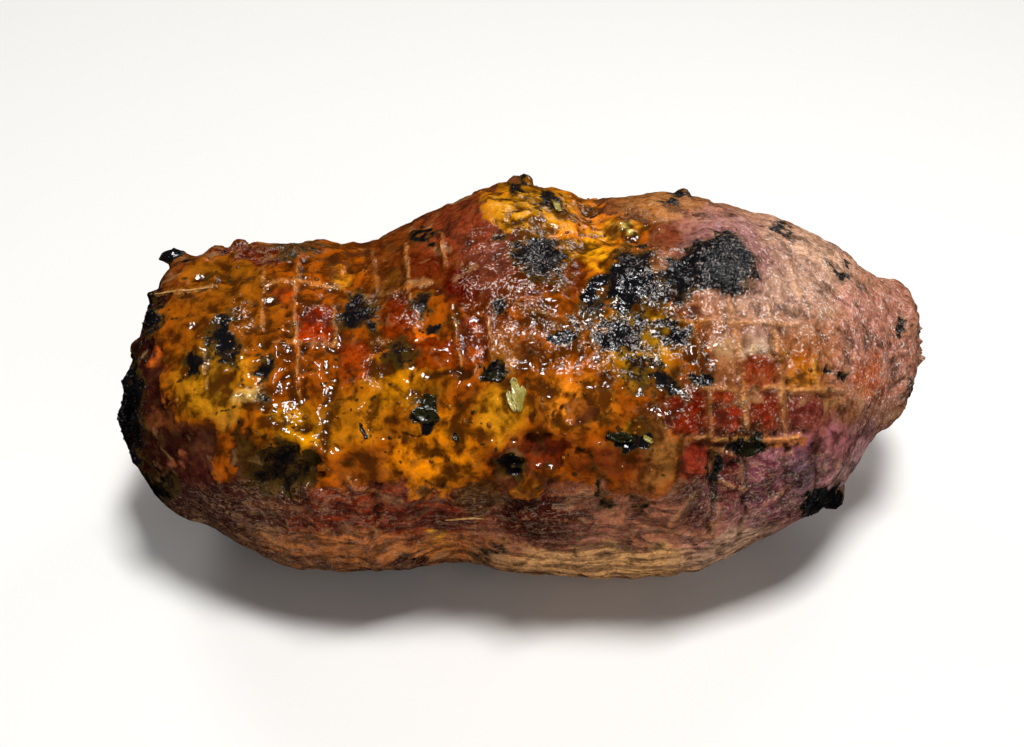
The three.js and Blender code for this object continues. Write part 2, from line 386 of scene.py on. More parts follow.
# Colours of the meat and skin, from the widest areas to the smallest patches. The hollows and the darkest
# patches of the side also carry painted shade.
MEAT_TONES = [
    Patch("browned skin of the butt half", (300, 300), (220, 120), "#72360d", soft=0.5),
    Patch("orange brown skin of the middle", (560, 330), (190, 150), "#642602", soft=0.5),
    Patch("tan crust of the knuckle half", (800, 300), (120, 110), "#a56236", soft=0.45),
    Patch("pale tan dome", (790, 275), (70, 50), "#c39278", soft=0.5),
    Patch("brown rim above the blister", (690, 212), (70, 20), "#af6c33", turn=12, soft=0.5),
    Patch("purple ring of the blister", (725, 250), (52, 40), "#a06864"),
    Patch("ochre rim behind the dome", (810, 250), (60, 12), "#e1ac8a", turn=30, soft=0.6),
    Patch("pink brown tip", (880, 340), (45, 70), "#be7760"),
    Patch("purple side of the knuckle", (790, 480), (90, 45), "#9d5c60", turn=-18, soft=0.3),
    Patch("purple side of the middle", (600, 525), (120, 36), "#bf7050", soft=0.3),
    Patch("rosy side of the butt", (390, 515), (110, 32), "#892a09", soft=0.3),
    # Partly the side's own tone and partly painted shade, where the side turns down from the light.
    Patch("dark side of the butt end", (190, 495), (60, 50), "#4a1d17"),
    Patch("tan side near the rest", (385, 548), (110, 16), "#cf7430", soft=0.5),
    # Partly the side's own tone and partly painted shade, where the side turns down from the light.
    Patch("dark side below the waist", (535, 515), (50, 30), "#571809"),
    Patch("pale fat near the rest", (620, 562), (120, 15), "#f3b16c", soft=0.5),
    Patch("pale fat below the knuckle", (725, 547), (50, 13), "#cf9f80", turn=-24, soft=0.5),
    Patch("fat at the bottom of the knuckle", (850, 470), (45, 14), "#b48684", turn=-50, soft=0.5),
    Patch("black end of the butt", (128, 430), (30, 95), "#09020a", soft=0.25),
    Patch("maroon end of the butt", (163, 418), (32, 66), "#33120d", soft=0.35),
    Patch("black upper corner of the butt", (155, 320), (20, 45), "#1e040c", soft=0.3),
    # Painted shade: the hollow under the glaze's lip and the olive hollow beside it are painted dark where
    # shade falls.
    Patch("dark hollow under the glaze", (283, 470), (36, 32), "#412609", soft=0.3),
    Patch("olive hollow beside it", (250, 440), (22, 26), "#4c300d", soft=0.5),
    # Painted shade: the hollow under the hanging drop is painted dark.
    Patch("dark hollow of the waist", (512, 466), (16, 12), "#20150f", soft=0.3),
    Patch("olive skin beside the waist", (478, 493), (22, 20), "#5d3407"),
    Patch("purple crest of the hump", (490, 250), (24, 36), "#7e3f2f", amount=0.7, soft=0.7),
    Patch("brown back of the hump", (455, 232), (40, 26), "#833418", turn=-30, soft=0.5),
    Patch("purple crumbs on the rim", (262, 254), (70, 11), "#5c1d06", soft=0.3),
    Patch("red pocket", (547, 451), (28, 19), "#73270b", soft=0.3),
    Patch("red pocket", (575, 408), (20, 15), "#985016"),
    Patch("red skin of the tip", (853, 302), (12, 11), "#d8907b"),
    Patch("orange skin of the tip", (868, 380), (16, 20), "#c35c30"),
    Patch("dark spot under the tip", (862, 429), (13, 11), "#784b4c", soft=0.3),
    Patch("dark edge of the tip", (909, 390), (7, 14), "#2c2022", soft=0.3),
    Patch("orange nodule", (160, 357), (12, 13), "#cd5e15", soft=0.3),
    Patch("brown nodule", (148, 330), (9, 8), "#8a4a34", soft=0.3),
    Patch("orange crumb", (176, 464), (7, 7), "#a35a36", soft=0.25),
    Patch("brown crumbs", (165, 422), (22, 8), "#713c1c", soft=0.3, amount=0.8),
    Patch("brown underside", (408, 562), (17, 8), "#420a02", soft=0.3),
    Patch("fat spot", (435, 535), (13, 6), "#f39c13", soft=0.3),
    Patch("brown spot", (409, 536), (8, 7), "#813202", soft=0.3),
    Patch("dark red spot", (488, 552), (15, 7), "#170202", soft=0.3),
    Patch("dark spot near the rest", (700, 544), (12, 8), "#dd9381", soft=0.3),
]

# Squares of the net that puffed up smooth and bare, like small pillows.
SQUARES = [
    Patch("square", (315, 325), (17, 18), "#972a02", soft=0.35, power=3.5),
    Patch("small square", (286, 297), (8, 8), "#a83e03", soft=0.45, power=3),
    Patch("square", (399, 320), (14, 20), "#7d2902", soft=0.35, power=3.5),
    Patch("square", (354, 362), (15, 20), "#9e3c06", soft=0.35, power=3.5),
    Patch("dull square", (399, 353), (12, 10), "#4a3010", soft=0.45, power=3),
    Patch("square", (434, 354), (21, 14), "#873202", soft=0.35, power=3.5),
    Patch("square", (473, 343), (14, 23), "#9a3a02", soft=0.35, power=3.5, turn=-6),
    Patch("square", (506, 347), (15, 28), "#965318", power=3.5, turn=-6),
    Patch("square", (426, 266), (17, 13), "#622007", soft=0.35, power=3.5),
    Patch("square", (462, 285), (16, 15), "#570b02", soft=0.35, power=3.5, turn=8),
    Patch("dull square", (393, 275), (11, 10), "#65350b", soft=0.45, power=3),
    Patch("amber square", (341, 272), (10, 13), "#c2700e", soft=0.45, power=3),
    Patch("square", (667, 240), (15, 17), "#814025", soft=0.45, power=3),
    Patch("square", (760, 370), (17, 16), "#893414", soft=0.35, power=3.5, turn=-6),
    Patch("amber square", (802, 369), (14, 17), "#b66614", soft=0.35, power=3.5, turn=-6),
    Patch("square", (688, 412), (17, 23), "#731c06", soft=0.35, power=3.5),
    Patch("square", (725, 397), (12, 7), "#8b3212", soft=0.45, power=3.5),
    Patch("dark square", (727, 421), (14, 12), "#a03119", soft=0.35, power=3.5),
    Patch("square", (765, 411), (16, 20), "#7c260f", soft=0.35, power=3.5, turn=-3),
    Patch("purple square", (806, 413), (21, 19), "#722d23", soft=0.45, power=3),
    # Pale tan skin, painted paler still where highlights lie on these two squares.
    Patch("pale square", (724, 342), (11, 15), "#a07050", soft=0.45, power=3.5, turn=-6),
    Patch("pale square", (757, 340), (15, 14), "#b99074", soft=0.45, power=3.5, turn=-6),
    Patch("square", (696, 463), (15, 19), "#852d1b", soft=0.35, power=3.5),
    Patch("dark square", (731, 480), (13, 30), "#6a1b1a", power=3.5),
    Patch("purple square", (767, 482), (15, 32), "#8b3a51", amount=0.8, power=3.5),
    Patch("purple square", (803, 470), (14, 24), "#563e56", amount=0.8, soft=0.45, power=3),
    Patch("dark square", (696, 510), (13, 20), "#691e27", amount=0.8, soft=0.45, power=3.5),
]

# Ridges that the net left, as far as they show.
NET_LINES = [
    NetLine(((300, 261), (294, 297), (297, 342), (299, 397))),
    NetLine(((332, 311), (336, 342)), 0.8),
    NetLine(((406, 244), (410, 301)), 0.9),
    NetLine(((440, 232), (447, 266)), 0.9),
    NetLine(((455, 320), (461, 366))),
    NetLine(((488, 318), (495, 363))),
    NetLine(((264, 284), (280, 281), (304, 281), (337, 287)), 0.9),
    NetLine(((337, 287), (359, 297), (387, 293), (432, 282)), 0.6),
    NetLine(((264, 340), (280, 341), (335, 345)), 0.9),
    NetLine(((370, 342), (390, 341)), 0.8),
    NetLine(((349, 478), (354, 487), (380, 493)), 0.7),
    NetLine(((510, 300), (531, 310), (565, 319)), 0.6),
    NetLine(((694, 324), (700, 362)), 0.6),
    NetLine(((728, 298), (743, 368), (747, 430))),
    NetLine(((768, 303), (778, 345), (783, 415), (787, 440))),
    NetLine(((789, 259), (800, 298)), 0.7),
    NetLine(((675, 321), (713, 321), (787, 324), (800, 322)), 0.8),
    NetLine(((763, 387), (800, 390), (843, 390))),
    NetLine(((699, 387), (737, 390)), 0.7),
    NetLine(((693, 437), (740, 440), (790, 439), (800, 434)), 0.9),
    NetLine(((710, 386), (711, 436)), 0.7),
    NetLine(((812, 352), (818, 386)), 0.5),
    NetLine(((712, 448), (733, 455)), 0.9),
    NetLine(((715, 480), (745, 489)), 0.8),
    NetLine(((720, 489), (718, 522)), 0.6),
    NetLine(((749, 504), (741, 530)), 0.6),
    NetLine(((666, 529), (693, 495)), 0.6),
    NetLine(((666, 529), (699, 538)), 0.5),
    NetLine(((753, 515), (789, 486)), 0.5),
    NetLine(((264, 262), (262, 330)), 0.5),
    NetLine(((143, 296), (180, 292), (216, 286))),
    NetLine(((204, 352), (206, 388)), 0.6),
    NetLine(((372, 250), (378, 290)), 0.4),
]

# Where the mustard glaze lies, with amounts below 0 where it is bare.
GLAZE_COVER = [
    Patch("butt end", (225, 350), (68, 84), soft=0.3),
    Patch("rim", (222, 275), (38, 20), soft=0.3),
    Patch("front lip", (345, 430), (88, 58), soft=0.15),
    Patch("front middle", (440, 430), (66, 66), soft=0.15),
    Patch("above the front", (400, 345), (110, 60), amount=0.75, soft=0.3),
    Patch("left of the hump", (320, 285), (60, 40), amount=0.7),
    Patch("middle", (560, 370), (100, 80), amount=0.85, soft=0.3),
    Patch("pool behind the hump", (596, 240), (56, 30), soft=0.25),
    Patch("top of the hump", (538, 208), (60, 28), soft=0.25),
    Patch("front right of the waist", (600, 440), (78, 52), amount=0.85, soft=0.25),
    Patch("crumbly right edge", (655, 450), (32, 44), amount=0.8, soft=0.3),
    Patch("right of the middle", (665, 340), (45, 45), amount=0.7),
    Patch("amber square", (803, 366), (17, 17), soft=0.3),
    Patch("right end of the glaze", (780, 440), (34, 6), amount=0.8, soft=0.3),
    Patch("right thread", (712, 440), (34, 5), amount=0.8, soft=0.3),
    Patch("hanging drop", (526, 484), (15, 11), soft=0.2),
    Patch("drip into the hollow", (226, 452), (10, 32), amount=0.8, soft=0.3),
    # Bare, so that the painted shade of the waist's hollow shows.
    Patch("bare waist", (505, 465), (14, 18), amount=-1.2, soft=0.3),
    Patch("bare black end", (135, 400), (22, 120), amount=-1.0, soft=0.3),
    # Bare, so that the painted shade of the hollow under the lip shows.
    Patch("bare hollow", (284, 470), (33, 25), amount=-1.3, soft=0.2),
    Patch("bare red square", (312, 322), (13, 16), amount=-1.0, soft=0.3),
    Patch("bare red square", (351, 361), (14, 20), amount=-1.0, soft=0.3),
    Patch("bare red square", (397, 316), (12, 18), amount=-1.0, soft=0.3),
    Patch("bare square", (280, 295), (14, 10), amount=-0.9, soft=0.3),
    Patch("bare crest", (488, 270), (30, 48), amount=-1.0, soft=0.3),
    Patch("bare pocket", (548, 451), (24, 15), amount=-1.0, soft=0.3),
    Patch("bare pocket", (578, 410), (17, 12), amount=-0.8, soft=0.3),
    Patch("bare red square", (684, 408), (17, 22), amount=-1.0, soft=0.3),
    Patch("bare blister", (716, 264), (44, 36), amount=-1.2, soft=0.3),
    Patch("bare swelling", (642, 282), (28, 24), amount=-1.0, soft=0.3),
]

# Hue of the glaze: mustard where it is thick and fresh, amber to brown where it has caught.
GLAZE_TONES = [
    Patch("amber glaze", (500, 380), (500, 300), "#9f4a06", soft=0.5),
    Patch("browned rim glaze", (225, 280), (45, 22), "#884e09", soft=0.5),
    Patch("brown glaze of the butt", (225, 320), (60, 40), "#8f4b08", soft=0.6),
    Patch("mustard of the butt", (215, 385), (40, 34), "#c88311", soft=0.5),
    Patch("green mustard streak", (206, 365), (9, 24), "#8c5902"),
    Patch("green mustard streak", (232, 379), (15, 10), "#b16a06"),
    Patch("pale crumbs", (252, 397), (15, 10), "#cd9f4f", soft=0.5),
    Patch("orange knob of glaze", (226, 418), (13, 14), "#b7761d"),
    Patch("mustard lip", (300, 432), (38, 22), "#c47d02", turn=28),
    Patch("orange foot of the lip", (320, 462), (20, 14), "#a95107"),
    Patch("mustard of the front", (350, 420), (38, 26), "#b46a0b", soft=0.5),
    Patch("brown loops of the front", (368, 472), (28, 20), "#954a11"),
    Patch("amber front", (435, 455), (42, 42), "#e78205"),
    Patch("amber above the front", (400, 385), (40, 26), "#c47707", soft=0.5),
    Patch("orange plate", (434, 348), (26, 14), "#d35c02"),
    Patch("orange square", (490, 340), (18, 20), "#ac5812"),
    Patch("mustard beside the leek", (500, 410), (26, 24), "#d68a11", soft=0.5),
    Patch("amber glaze behind the hump", (575, 232), (56, 30), "#e07b11"),
    Patch("yellow top of the hump", (530, 208), (44, 22), "#df9515", soft=0.5),
    Patch("yellow pool", (587, 252), (26, 12), "#f3a10f", soft=0.35),
    Patch("yellow pool", (613, 231), (26, 11), "#dd8e1b", soft=0.35),
    Patch("bright blob", (623, 231), (7, 6), "#e8d26a", soft=0.5),
    Patch("brown glaze of the middle", (575, 400), (40, 26), "#f3891a", soft=0.5),
    Patch("mustard of the middle", (575, 365), (44, 18), "#b55802", soft=0.5),
    Patch("mustard blob", (641, 373), (10, 12), "#a88422"),
    Patch("yellow of the middle", (640, 340), (40, 34), "#c4850b", soft=0.5),
    Patch("green mustard blob", (636, 428), (13, 8), "#b27c18"),
    Patch("olive crumbs", (655, 455), (26, 30), "#9b612b"),
    Patch("brown drips", (610, 465), (36, 20), "#712f0e", soft=0.5),
    Patch("amber square", (803, 364), (15, 14), "#c27c18"),
    Patch("yellow threads", (760, 441), (60, 8), "#ab5f30", soft=0.5),
    Patch("orange drop", (526, 484), (15, 11), "#a35b0e"),
]

# Burnt patches, from dark brown at a half to black at 1. The shadows, hollows, slits, the pit and the groove
# among them are painted shade in recesses and under raised parts.
CHAR_AND_SHADE_COVER = [
    Patch("granular blister", (718, 263), (36, 28), soft=0.3),
    # Char, and painted shade: the swelling is black on its shaded left part and browner on its lit right
    # part.
    Patch("dark swelling, left part", (631, 282), (22, 29)),
    Patch("dark swelling, right part", (660, 286), (18, 20), amount=0.6, soft=0.5),
    Patch("between swelling and blister", (679, 277), (16, 18), soft=0.45),
    Patch("foot of the swelling", (625, 308), (16, 7), amount=0.85, soft=0.45),
    Patch("crag behind the hump", (541, 258), (26, 20), amount=0.9, soft=0.5, turn=35),
    Patch("crag beside the swelling", (594, 288), (10, 18), amount=0.95, soft=0.45, turn=25),
    Patch("long crag", (615, 338), (26, 12), amount=0.95, soft=0.5, turn=15),
    Patch("leaf crag", (566, 340), (14, 8), turn=10),
    Patch("crag of the middle", (675, 334), (15, 9), amount=0.9, soft=0.45, turn=15),
    # Painted shadow below the blister.
    Patch("shadow under the blister", (655, 326), (34, 6), amount=0.6, soft=0.5, turn=8),
    Patch("dark streak of the middle", (640, 362), (22, 7), amount=0.6, soft=0.5, turn=20),
    Patch("crag", (590, 310), (10, 9), amount=0.6, soft=0.5),
    Patch("olive crag of the middle", (600, 330), (50, 18), amount=0.35, soft=0.5),
    Patch("olive crag of the middle", (650, 375), (30, 20), amount=0.35, soft=0.5),
    Patch("crag above the red squares", (703, 378), (10, 7), amount=0.95, soft=0.45),
    Patch("crag", (668, 388), (24, 7), amount=0.7, soft=0.55, turn=18),
    Patch("fleck", (424, 238), (11, 6), amount=0.95, soft=0.45),
    Patch("fleck", (431, 331), (7, 6)),
    Patch("fleck", (502, 301), (6, 9), amount=0.95, soft=0.45),
    Patch("dark glossy crag", (354, 314), (20, 17), amount=0.8, soft=0.5),
    Patch("dark square", (420, 305), (12, 14), amount=0.6, soft=0.55),
    Patch("dark square", (400, 352), (14, 11), amount=0.5, soft=0.55),
    # Painted shadow under the leek.
    Patch("shadow under the leek", (492, 374), (11, 7), amount=0.9, soft=0.45),
    Patch("herb crag of the butt", (224, 334), (9, 23), amount=0.85, soft=0.5),
    Patch("herb crag of the butt", (193, 366), (10, 10), amount=0.85, soft=0.5),
    Patch("herb streak of the butt", (234, 352), (6, 22), amount=0.6, soft=0.5),
    Patch("herb streak of the butt", (210, 345), (5, 18), amount=0.5, soft=0.5),
    # Painted shade in the butt's slit and in the pit under the rim.
    Patch("slit of the butt", (265, 365), (6, 14), amount=0.7, soft=0.55),
    Patch("pit under the rim", (262, 398), (8, 8), amount=0.6, soft=0.55),
    # Painted light and shade: the leaf's lit upper part is painted less dark than its shaded lower part.
    Patch("leaf, lit part", (425, 400), (12, 10), amount=0.6, soft=0.45),
    Patch("leaf, black part", (425, 415), (14, 9), soft=0.35),
    Patch("leaf of the right", (620, 440), (12, 7)),
    Patch("crag beside it", (643, 440), (10, 7), amount=0.9, soft=0.45),
    Patch("leaf of the knuckle", (749, 447), (16, 10), soft=0.35, turn=-12),
    Patch("blue black spot", (779, 231), (10, 6), amount=0.85, soft=0.45),
    Patch("blue black spot", (841, 273), (6, 6), amount=0.85, soft=0.45),
    # Painted shade in the slit of the tip.
    Patch("slit of the tip", (832, 371), (10, 3), amount=0.9, soft=0.55),
    Patch("knob of the tip", (903, 329), (9, 8), amount=0.75, soft=0.45),
    Patch("charred drip", (825, 505), (22, 19), soft=0.3),
    Patch("black end of the butt", (123, 420), (17, 80), amount=0.9, soft=0.45),
    Patch("horn", (172, 252), (16, 7), soft=0.45),
    Patch("black rim", (300, 250), (26, 7), amount=0.35, soft=0.55),
    Patch("burnt corner", (150, 310), (10, 24), amount=0.95, soft=0.45),
    Patch("burnt foot of the butt", (155, 490), (22, 16), amount=0.7, soft=0.6),
    # Painted shade in the hollow under the glaze, the hollow of the waist and the groove.
    Patch("hollow under the glaze", (283, 466), (30, 22), amount=0.55, soft=0.55),
    Patch("hollow of the waist", (508, 466), (14, 9), amount=0.85, soft=0.45),
    Patch("groove", (714, 466), (5, 11), amount=0.9, soft=0.45),
    Patch("nub of the hump", (518, 186), (8, 8), amount=0.7, soft=0.45),
    Patch("dark top of the hump", (549, 198), (12, 6), amount=0.7, soft=0.55),
    Patch("nub of the ridge", (675, 194), (11, 5), amount=0.7, soft=0.45),
    Patch("fleck", (497, 235), (12, 5), amount=0.6, soft=0.55),
    Patch("fleck", (601, 500), (7, 9), amount=0.7, soft=0.55),
    Patch("fleck", (640, 500), (7, 6), amount=0.6, soft=0.55),
]

# Where the painted highlights cluster as pale glint specks; the same layer strengthens the fine ripple of the
# bump.
SPARKLE_COVER = [
    Patch("crest", (505, 272), (42, 58), amount=0.6),
    Patch("middle", (600, 345), (60, 30), amount=0.75),
    Patch("right of the middle", (685, 325), (45, 35), amount=0.8),
    Patch("above the red squares", (715, 382), (28, 16), amount=0.8),
    Patch("squares of the knuckle", (745, 412), (85, 34), amount=0.25),
    Patch("dome", (780, 290), (95, 68), amount=0.8),
    Patch("tip", (880, 345), (45, 75), amount=0.8),
    Patch("blister", (720, 262), (34, 27)),
    Patch("swelling", (650, 278), (26, 26), amount=0.8),
    Patch("crag", (545, 262), (26, 22), amount=0.9),
    Patch("glassy skin", (538, 315), (12, 24), amount=0.8),
    Patch("square", (322, 314), (12, 14), amount=0.7),
    Patch("square", (405, 312), (14, 14), amount=0.8),
    Patch("black square", (362, 310), (14, 14), amount=0.5),
    Patch("crumbly band", (373, 362), (7, 24), amount=0.9),
    Patch("square", (474, 345), (12, 18), amount=0.6),
    Patch("square", (503, 340), (14, 28), amount=0.9),
    Patch("butt", (241, 315), (12, 16), amount=0.9),
    Patch("butt", (255, 396), (12, 12), amount=0.7),
    Patch("top", (540, 222), (60, 24), amount=0.4),
    Patch("knuckle side", (760, 500), (70, 45), amount=0.3),
]

# Where the net's marks are shallow.
LEVEL_COVER = [
    Patch("dome and its far side", (800, 250), (110, 80)),
    Patch("tip", (880, 340), (50, 90)),
    Patch("rim of the middle", (640, 200), (90, 30)),
    Patch("top", (480, 340), (330, 140), soft=0.15),
    Patch("side of the butt and the middle", (420, 530), (300, 62), amount=0.85, soft=0.2),
    Patch("side of the knuckle", (740, 500), (110, 62), amount=0.8, soft=0.2),
]

# Creases that the net pressed into the side: cut into the mesh, and painted dark there as shade.
CRACKS = [
    NetLine(((712, 452), (713, 486), (714, 500), (706, 534))),
    NetLine(((712, 461), (748, 463)), 0.8),
    NetLine(((747, 461), (747, 490), (740, 532)), 0.9),
    NetLine(((785, 445), (785, 506)), 0.8),
    NetLine(((816, 445), (817, 494)), 0.7),
    NetLine(((680, 438), (680, 478)), 0.5),
    NetLine(((378, 488), (376, 526)), 0.7),
    NetLine(((424, 492), (426, 512)), 0.5),
    NetLine(((296, 497), (340, 508), (440, 512)), 0.4),
    NetLine(((372, 536), (374, 556)), 0.5),
    NetLine(((700, 404), (701, 434)), 0.5),
    NetLine(((327, 404), (325, 470)), 0.35),
    NetLine(((327, 404), (336, 380), (348, 376)), 0.4),
    NetLine(((455, 398), (459, 450)), 0.5),
    NetLine(((431, 372), (470, 374)), 0.6),
    NetLine(((382, 372), (420, 362)), 0.5),
]

# Where the skin burnt to loose coal.
COAL_COVER = [
    Patch("black end of the butt", (126, 420), (22, 96), soft=0.3),
    Patch("horn", (172, 252), (18, 9), soft=0.3),
    Patch("burnt corner", (150, 310), (12, 28), soft=0.3),
    Patch("charred drip", (825, 505), (24, 21), soft=0.2),
]

# Where the skin above the side dried without glaze.
DRY_COVER = [
    Patch("dome", (785, 272), (75, 50), amount=0.8),
    Patch("tip", (880, 340), (50, 80)),
    Patch("rim above the blister", (690, 208), (80, 16), amount=0.6),
    Patch("crumbs on the rim", (262, 250), (70, 10), amount=0.7),
]

# How far, in mm, the skin stands out or sinks in at a few places the eye goes to.
HEIGHTS = [
    Patch("hollow under the glaze", (286, 468), (36, 20), amount=-3.4, turn=20, soft=0.35),
    Patch("drooping lip of the glaze", (292, 436), (44, 9), amount=1.8, turn=28),
    Patch("hollow of the waist", (508, 465), (18, 10), amount=-2.4, soft=0.35),
    Patch("hanging drop", (526, 482), (12, 10), amount=1.6, soft=0.5),
    Patch("pale crumbs", (252, 397), (15, 9), amount=0.8, soft=0.5),
    Patch("granular blister", (720, 264), (36, 28), amount=1.7),
    Patch("dark swelling", (648, 282), (34, 28), amount=1.5, soft=0.5),
    Patch("cleft between them", (681, 276), (9, 24), amount=-1.6, soft=0.5),
    Patch("pool behind the hump", (600, 248), (40, 14), amount=-0.8, soft=0.5),
    Patch("bright blob", (623, 231), (8, 7), soft=0.5),
    Patch("red pocket", (547, 451), (26, 16), amount=-1.6),
    Patch("leaf of the right", (620, 440), (14, 8), amount=-1.0),
    Patch("butt slit", (265, 365), (6, 14), amount=-1.2, soft=0.5),
    Patch("crag behind the hump", (541, 256), (18, 18), amount=-1.0, soft=0.5),
    Patch("crag under the leek", (492, 374), (11, 7), amount=-1.4),
    Patch("slit of the tip", (832, 371), (12, 4), amount=-1.4, soft=0.5),
    Patch("fold of the side", (378, 508), (5, 20), amount=-1.2, soft=0.5),
]


@dataclass
class PaintBox:
    """Lays patches on a surface. What the photograph doesn't show carries on from what it shows.

    A shake is how far noise moves the pixels, with the width of its bumps in mm and the distance in mm
    between the noise that moves them across and the noise that moves them down.
    """

    view: PhotoView
    net: NetLayout
    grain: Grain = field(default_factory=lambda: Grain(11))
    rim_shake: tuple[float, float, float] = (26.0, 15.0, 133.0)
    torn_shakes: tuple[tuple[float, float, float], ...] = ((10.0, 6.5, 211.0), (7.0, 2.6, 211.0))
    ridge_shake: tuple[float, float, float] = (2.5, 4.0, 50.0)
    crack_shake: tuple[float, float, float] = (6.0, 5.0, 90.0)
    square_shake: tuple[float, float, float] = (6.0, 4.0, 70.0)
    out_of_sight: float = 8.0
    farthest: float = 5.0
    crack_width: float = 0.95

    def turned(self, points: np.ndarray) -> np.ndarray:
        """How many degrees round the axis each point lies from where the camera looks straight at it."""
        _, angle = self.net.along_and_around(points)
        return np.degrees(np.abs(np.angle(np.exp(1j * (angle - math.radians(self.view.elevation))))))

    def shake(
        self,
        pixels: np.ndarray,
        points: np.ndarray,
        by: tuple[float, float, float],
        share: float | np.ndarray = 1.0,
    ) -> None:
        """Moves pixels by noise.

        Args:
            pixels: The pixels, which are changed.
            points: The places that they belong to, in mm.
            by: Reach in pixels, width of a bump in mm, and distance between the two noises in mm.
            share: How much of the reach each of them gets, as one number or as an array.
        """
        reach, size, apart = by
        for axis in range(2):
            pixels[:, axis] += reach * share * self.grain.at(points + apart * axis, size)

    def pixels_on(self, points: np.ndarray) -> np.ndarray:
        """The pixel that each point takes its patches from.

        Args:
            points: Places, in mm.

        Returns:
            A pixel for each point. Past the outline, the patches are drawn out and shifted.
        """
        pixels, turn = self.view.pixels_of(points), self.turned(points)
        past = smoothstep(90, 150, turn)
        self.shake(pixels, points, self.rim_shake, smoothstep(75, 115, turn))
        pixels[:, 0] += past * (46 * np.sin(pixels[:, 1] / 47) + 30)
        pixels[:, 1] += past * 30 * np.sin(pixels[:, 0] / 71)
        return pixels

    def ragged_pixels(self, points: np.ndarray) -> np.ndarray:
        """The same pixels, shaken so that every patch gets a torn edge.

        Args:
            points: Places, in mm.

        Returns:
            A pixel for each point.
        """
        pixels = self.pixels_on(points)
        for by in self.torn_shakes:
            self.shake(pixels, points, by)
        return pixels

    def blend(self, points: np.ndarray, patches: list[Patch], ground: str) -> np.ndarray:
        """Lays coloured patches over each other.

        Args:
            points: Places, in mm.
            patches: The patches, from the lowest up.
            ground: Colour below them all.

        Returns:
            A linear colour for each point.
        """
        pixels = self.ragged_pixels(points)
        colours = np.tile(np.array(linear(ground)), (len(points), 1))
        for patch in patches:
            share = patch.cover(pixels)[:, None]
            colours += share * (np.array(linear(patch.tone)) - colours)
        return colours

    def strongest(self, points: np.ndarray, patches: list[Patch]) -> np.ndarray:
        """The largest amount of any patch at each point, less what bare patches take away.

        Args:
            points: Places, in mm.
            patches: The patches.

        Returns:
            An amount for each point, from 0 to 1.
        """
        pixels = self.ragged_pixels(points)
        most, bare = np.zeros(len(points)), np.zeros(len(points))
        for patch in patches:
            share = patch.cover(pixels)
            if patch.amount > 0:
                most = np.maximum(most, share)
            else:
                bare = np.maximum(bare, -share)
        return np.clip(most - bare, 0.0, 1.0)

    def heights(self, points: np.ndarray) -> np.ndarray:
        """Sum of the named heights and hollows at each point, in mm."""
        pixels = self.ragged_pixels(points)
        return sum(patch.cover(pixels) for patch in HEIGHTS)

    def side(self, points: np.ndarray) -> np.ndarray:
        """How far each point is on the unglazed side, from 0 on the glazed top to 1."""
        pixels = self.pixels_on(points)
        knuckle = smoothstep(660, 780, pixels[:, 0])
        edge = 486 - 32 * knuckle + 10 * self.grain.at(points, 9.0)
        return smoothstep(edge - 10, edge + 12, pixels[:, 1])

    def facing(self, points: np.ndarray) -> np.ndarray:
        """1 where the skin faces the photograph's camera, falling to 0 behind."""
        return smoothstep(100, 80, self.turned(points))

    def net_ridges(self, points: np.ndarray) -> tuple[np.ndarray, np.ndarray]:
        """The nearest ridge of the net. Behind, the solid's own net takes the place of the named lines.

        Args:
            points: Places, in mm.

        Returns:
            Its distance in mm, and how pale it is.
        """
        pixels, front = self.view.pixels_of(points), self.facing(points)
        self.shake(pixels, points, self.ridge_shake)
        nearest = self.net.from_line(points) + self.out_of_sight * smoothstep(0.0, 0.5, front)
        amount = np.full(len(points), 0.5)
        for line in NET_LINES:
            distance = line.distance(pixels) * self.view.mm_per_pixel + self.out_of_sight * (1 - front)
            amount = np.where(distance < nearest, line.amount, amount)
            nearest = np.minimum(nearest, distance)
        return np.minimum(nearest, self.farthest), amount

    def cracks(self, points: np.ndarray) -> np.ndarray:
        """How deep the named creases cut at each point, from 0 to 1."""
        pixels, deepest = self.view.pixels_of(points), np.zeros(len(points))
        self.shake(pixels, points, self.crack_shake)
        for line in CRACKS:
            near = line.distance(pixels) * self.view.mm_per_pixel
            deepest = np.maximum(deepest, line.amount * np.exp(-((near / self.crack_width) ** 2)))
        return deepest * self.facing(points)

    def tint_squares(self, points: np.ndarray, colours: np.ndarray) -> np.ndarray:
        """Colours the puffed squares, darker at their far side where they turn from the light.

        Args:
            points: Places, in mm.
            colours: The colour at each point, which is changed.

        Returns:
            How much of a smooth square each point shows.
        """
        pixels, smooth = self.square_pixels(points), np.zeros(len(points))
        for square in SQUARES:
            share, (_, down) = square.cover(pixels), square.local(pixels)
            glow = np.clip(1.0 + 0.5 * down, 0.5, 1.5)[:, None] ** (0.7, 1.2, 1.0, 0.0)
            colours += share[:, None] * (np.array(linear(square.tone)) * glow - colours)
            smooth = np.maximum(smooth, share)
        return smooth

    def pillows(self, points: np.ndarray) -> np.ndarray:
        """Height of the puffed squares: 0 at their edge and outside, and 1 in their middle."""
        pixels = self.square_pixels(points)
        domes = [np.clip(1 - square.local(pixels)[0] ** 3, 0, 1) * square.amount for square in SQUARES]
        return np.max(domes, axis=0)

    def square_pixels(self, points: np.ndarray) -> np.ndarray:
        """Slightly shaken pixels, so that the squares keep their straight sides."""
        pixels = self.pixels_on(points)
        self.shake(pixels, points, self.square_shake)
        return pixels


MATH = "ShaderNodeMath"
RANGE = "ShaderNodeMapRange"
MIX = "ShaderNodeMix"
NOISE = "ShaderNodeTexNoise"
CELLS = "ShaderNodeTexVoronoi"
VECTOR = "ShaderNodeVectorMath"
Socket = bpy.types.NodeSocket


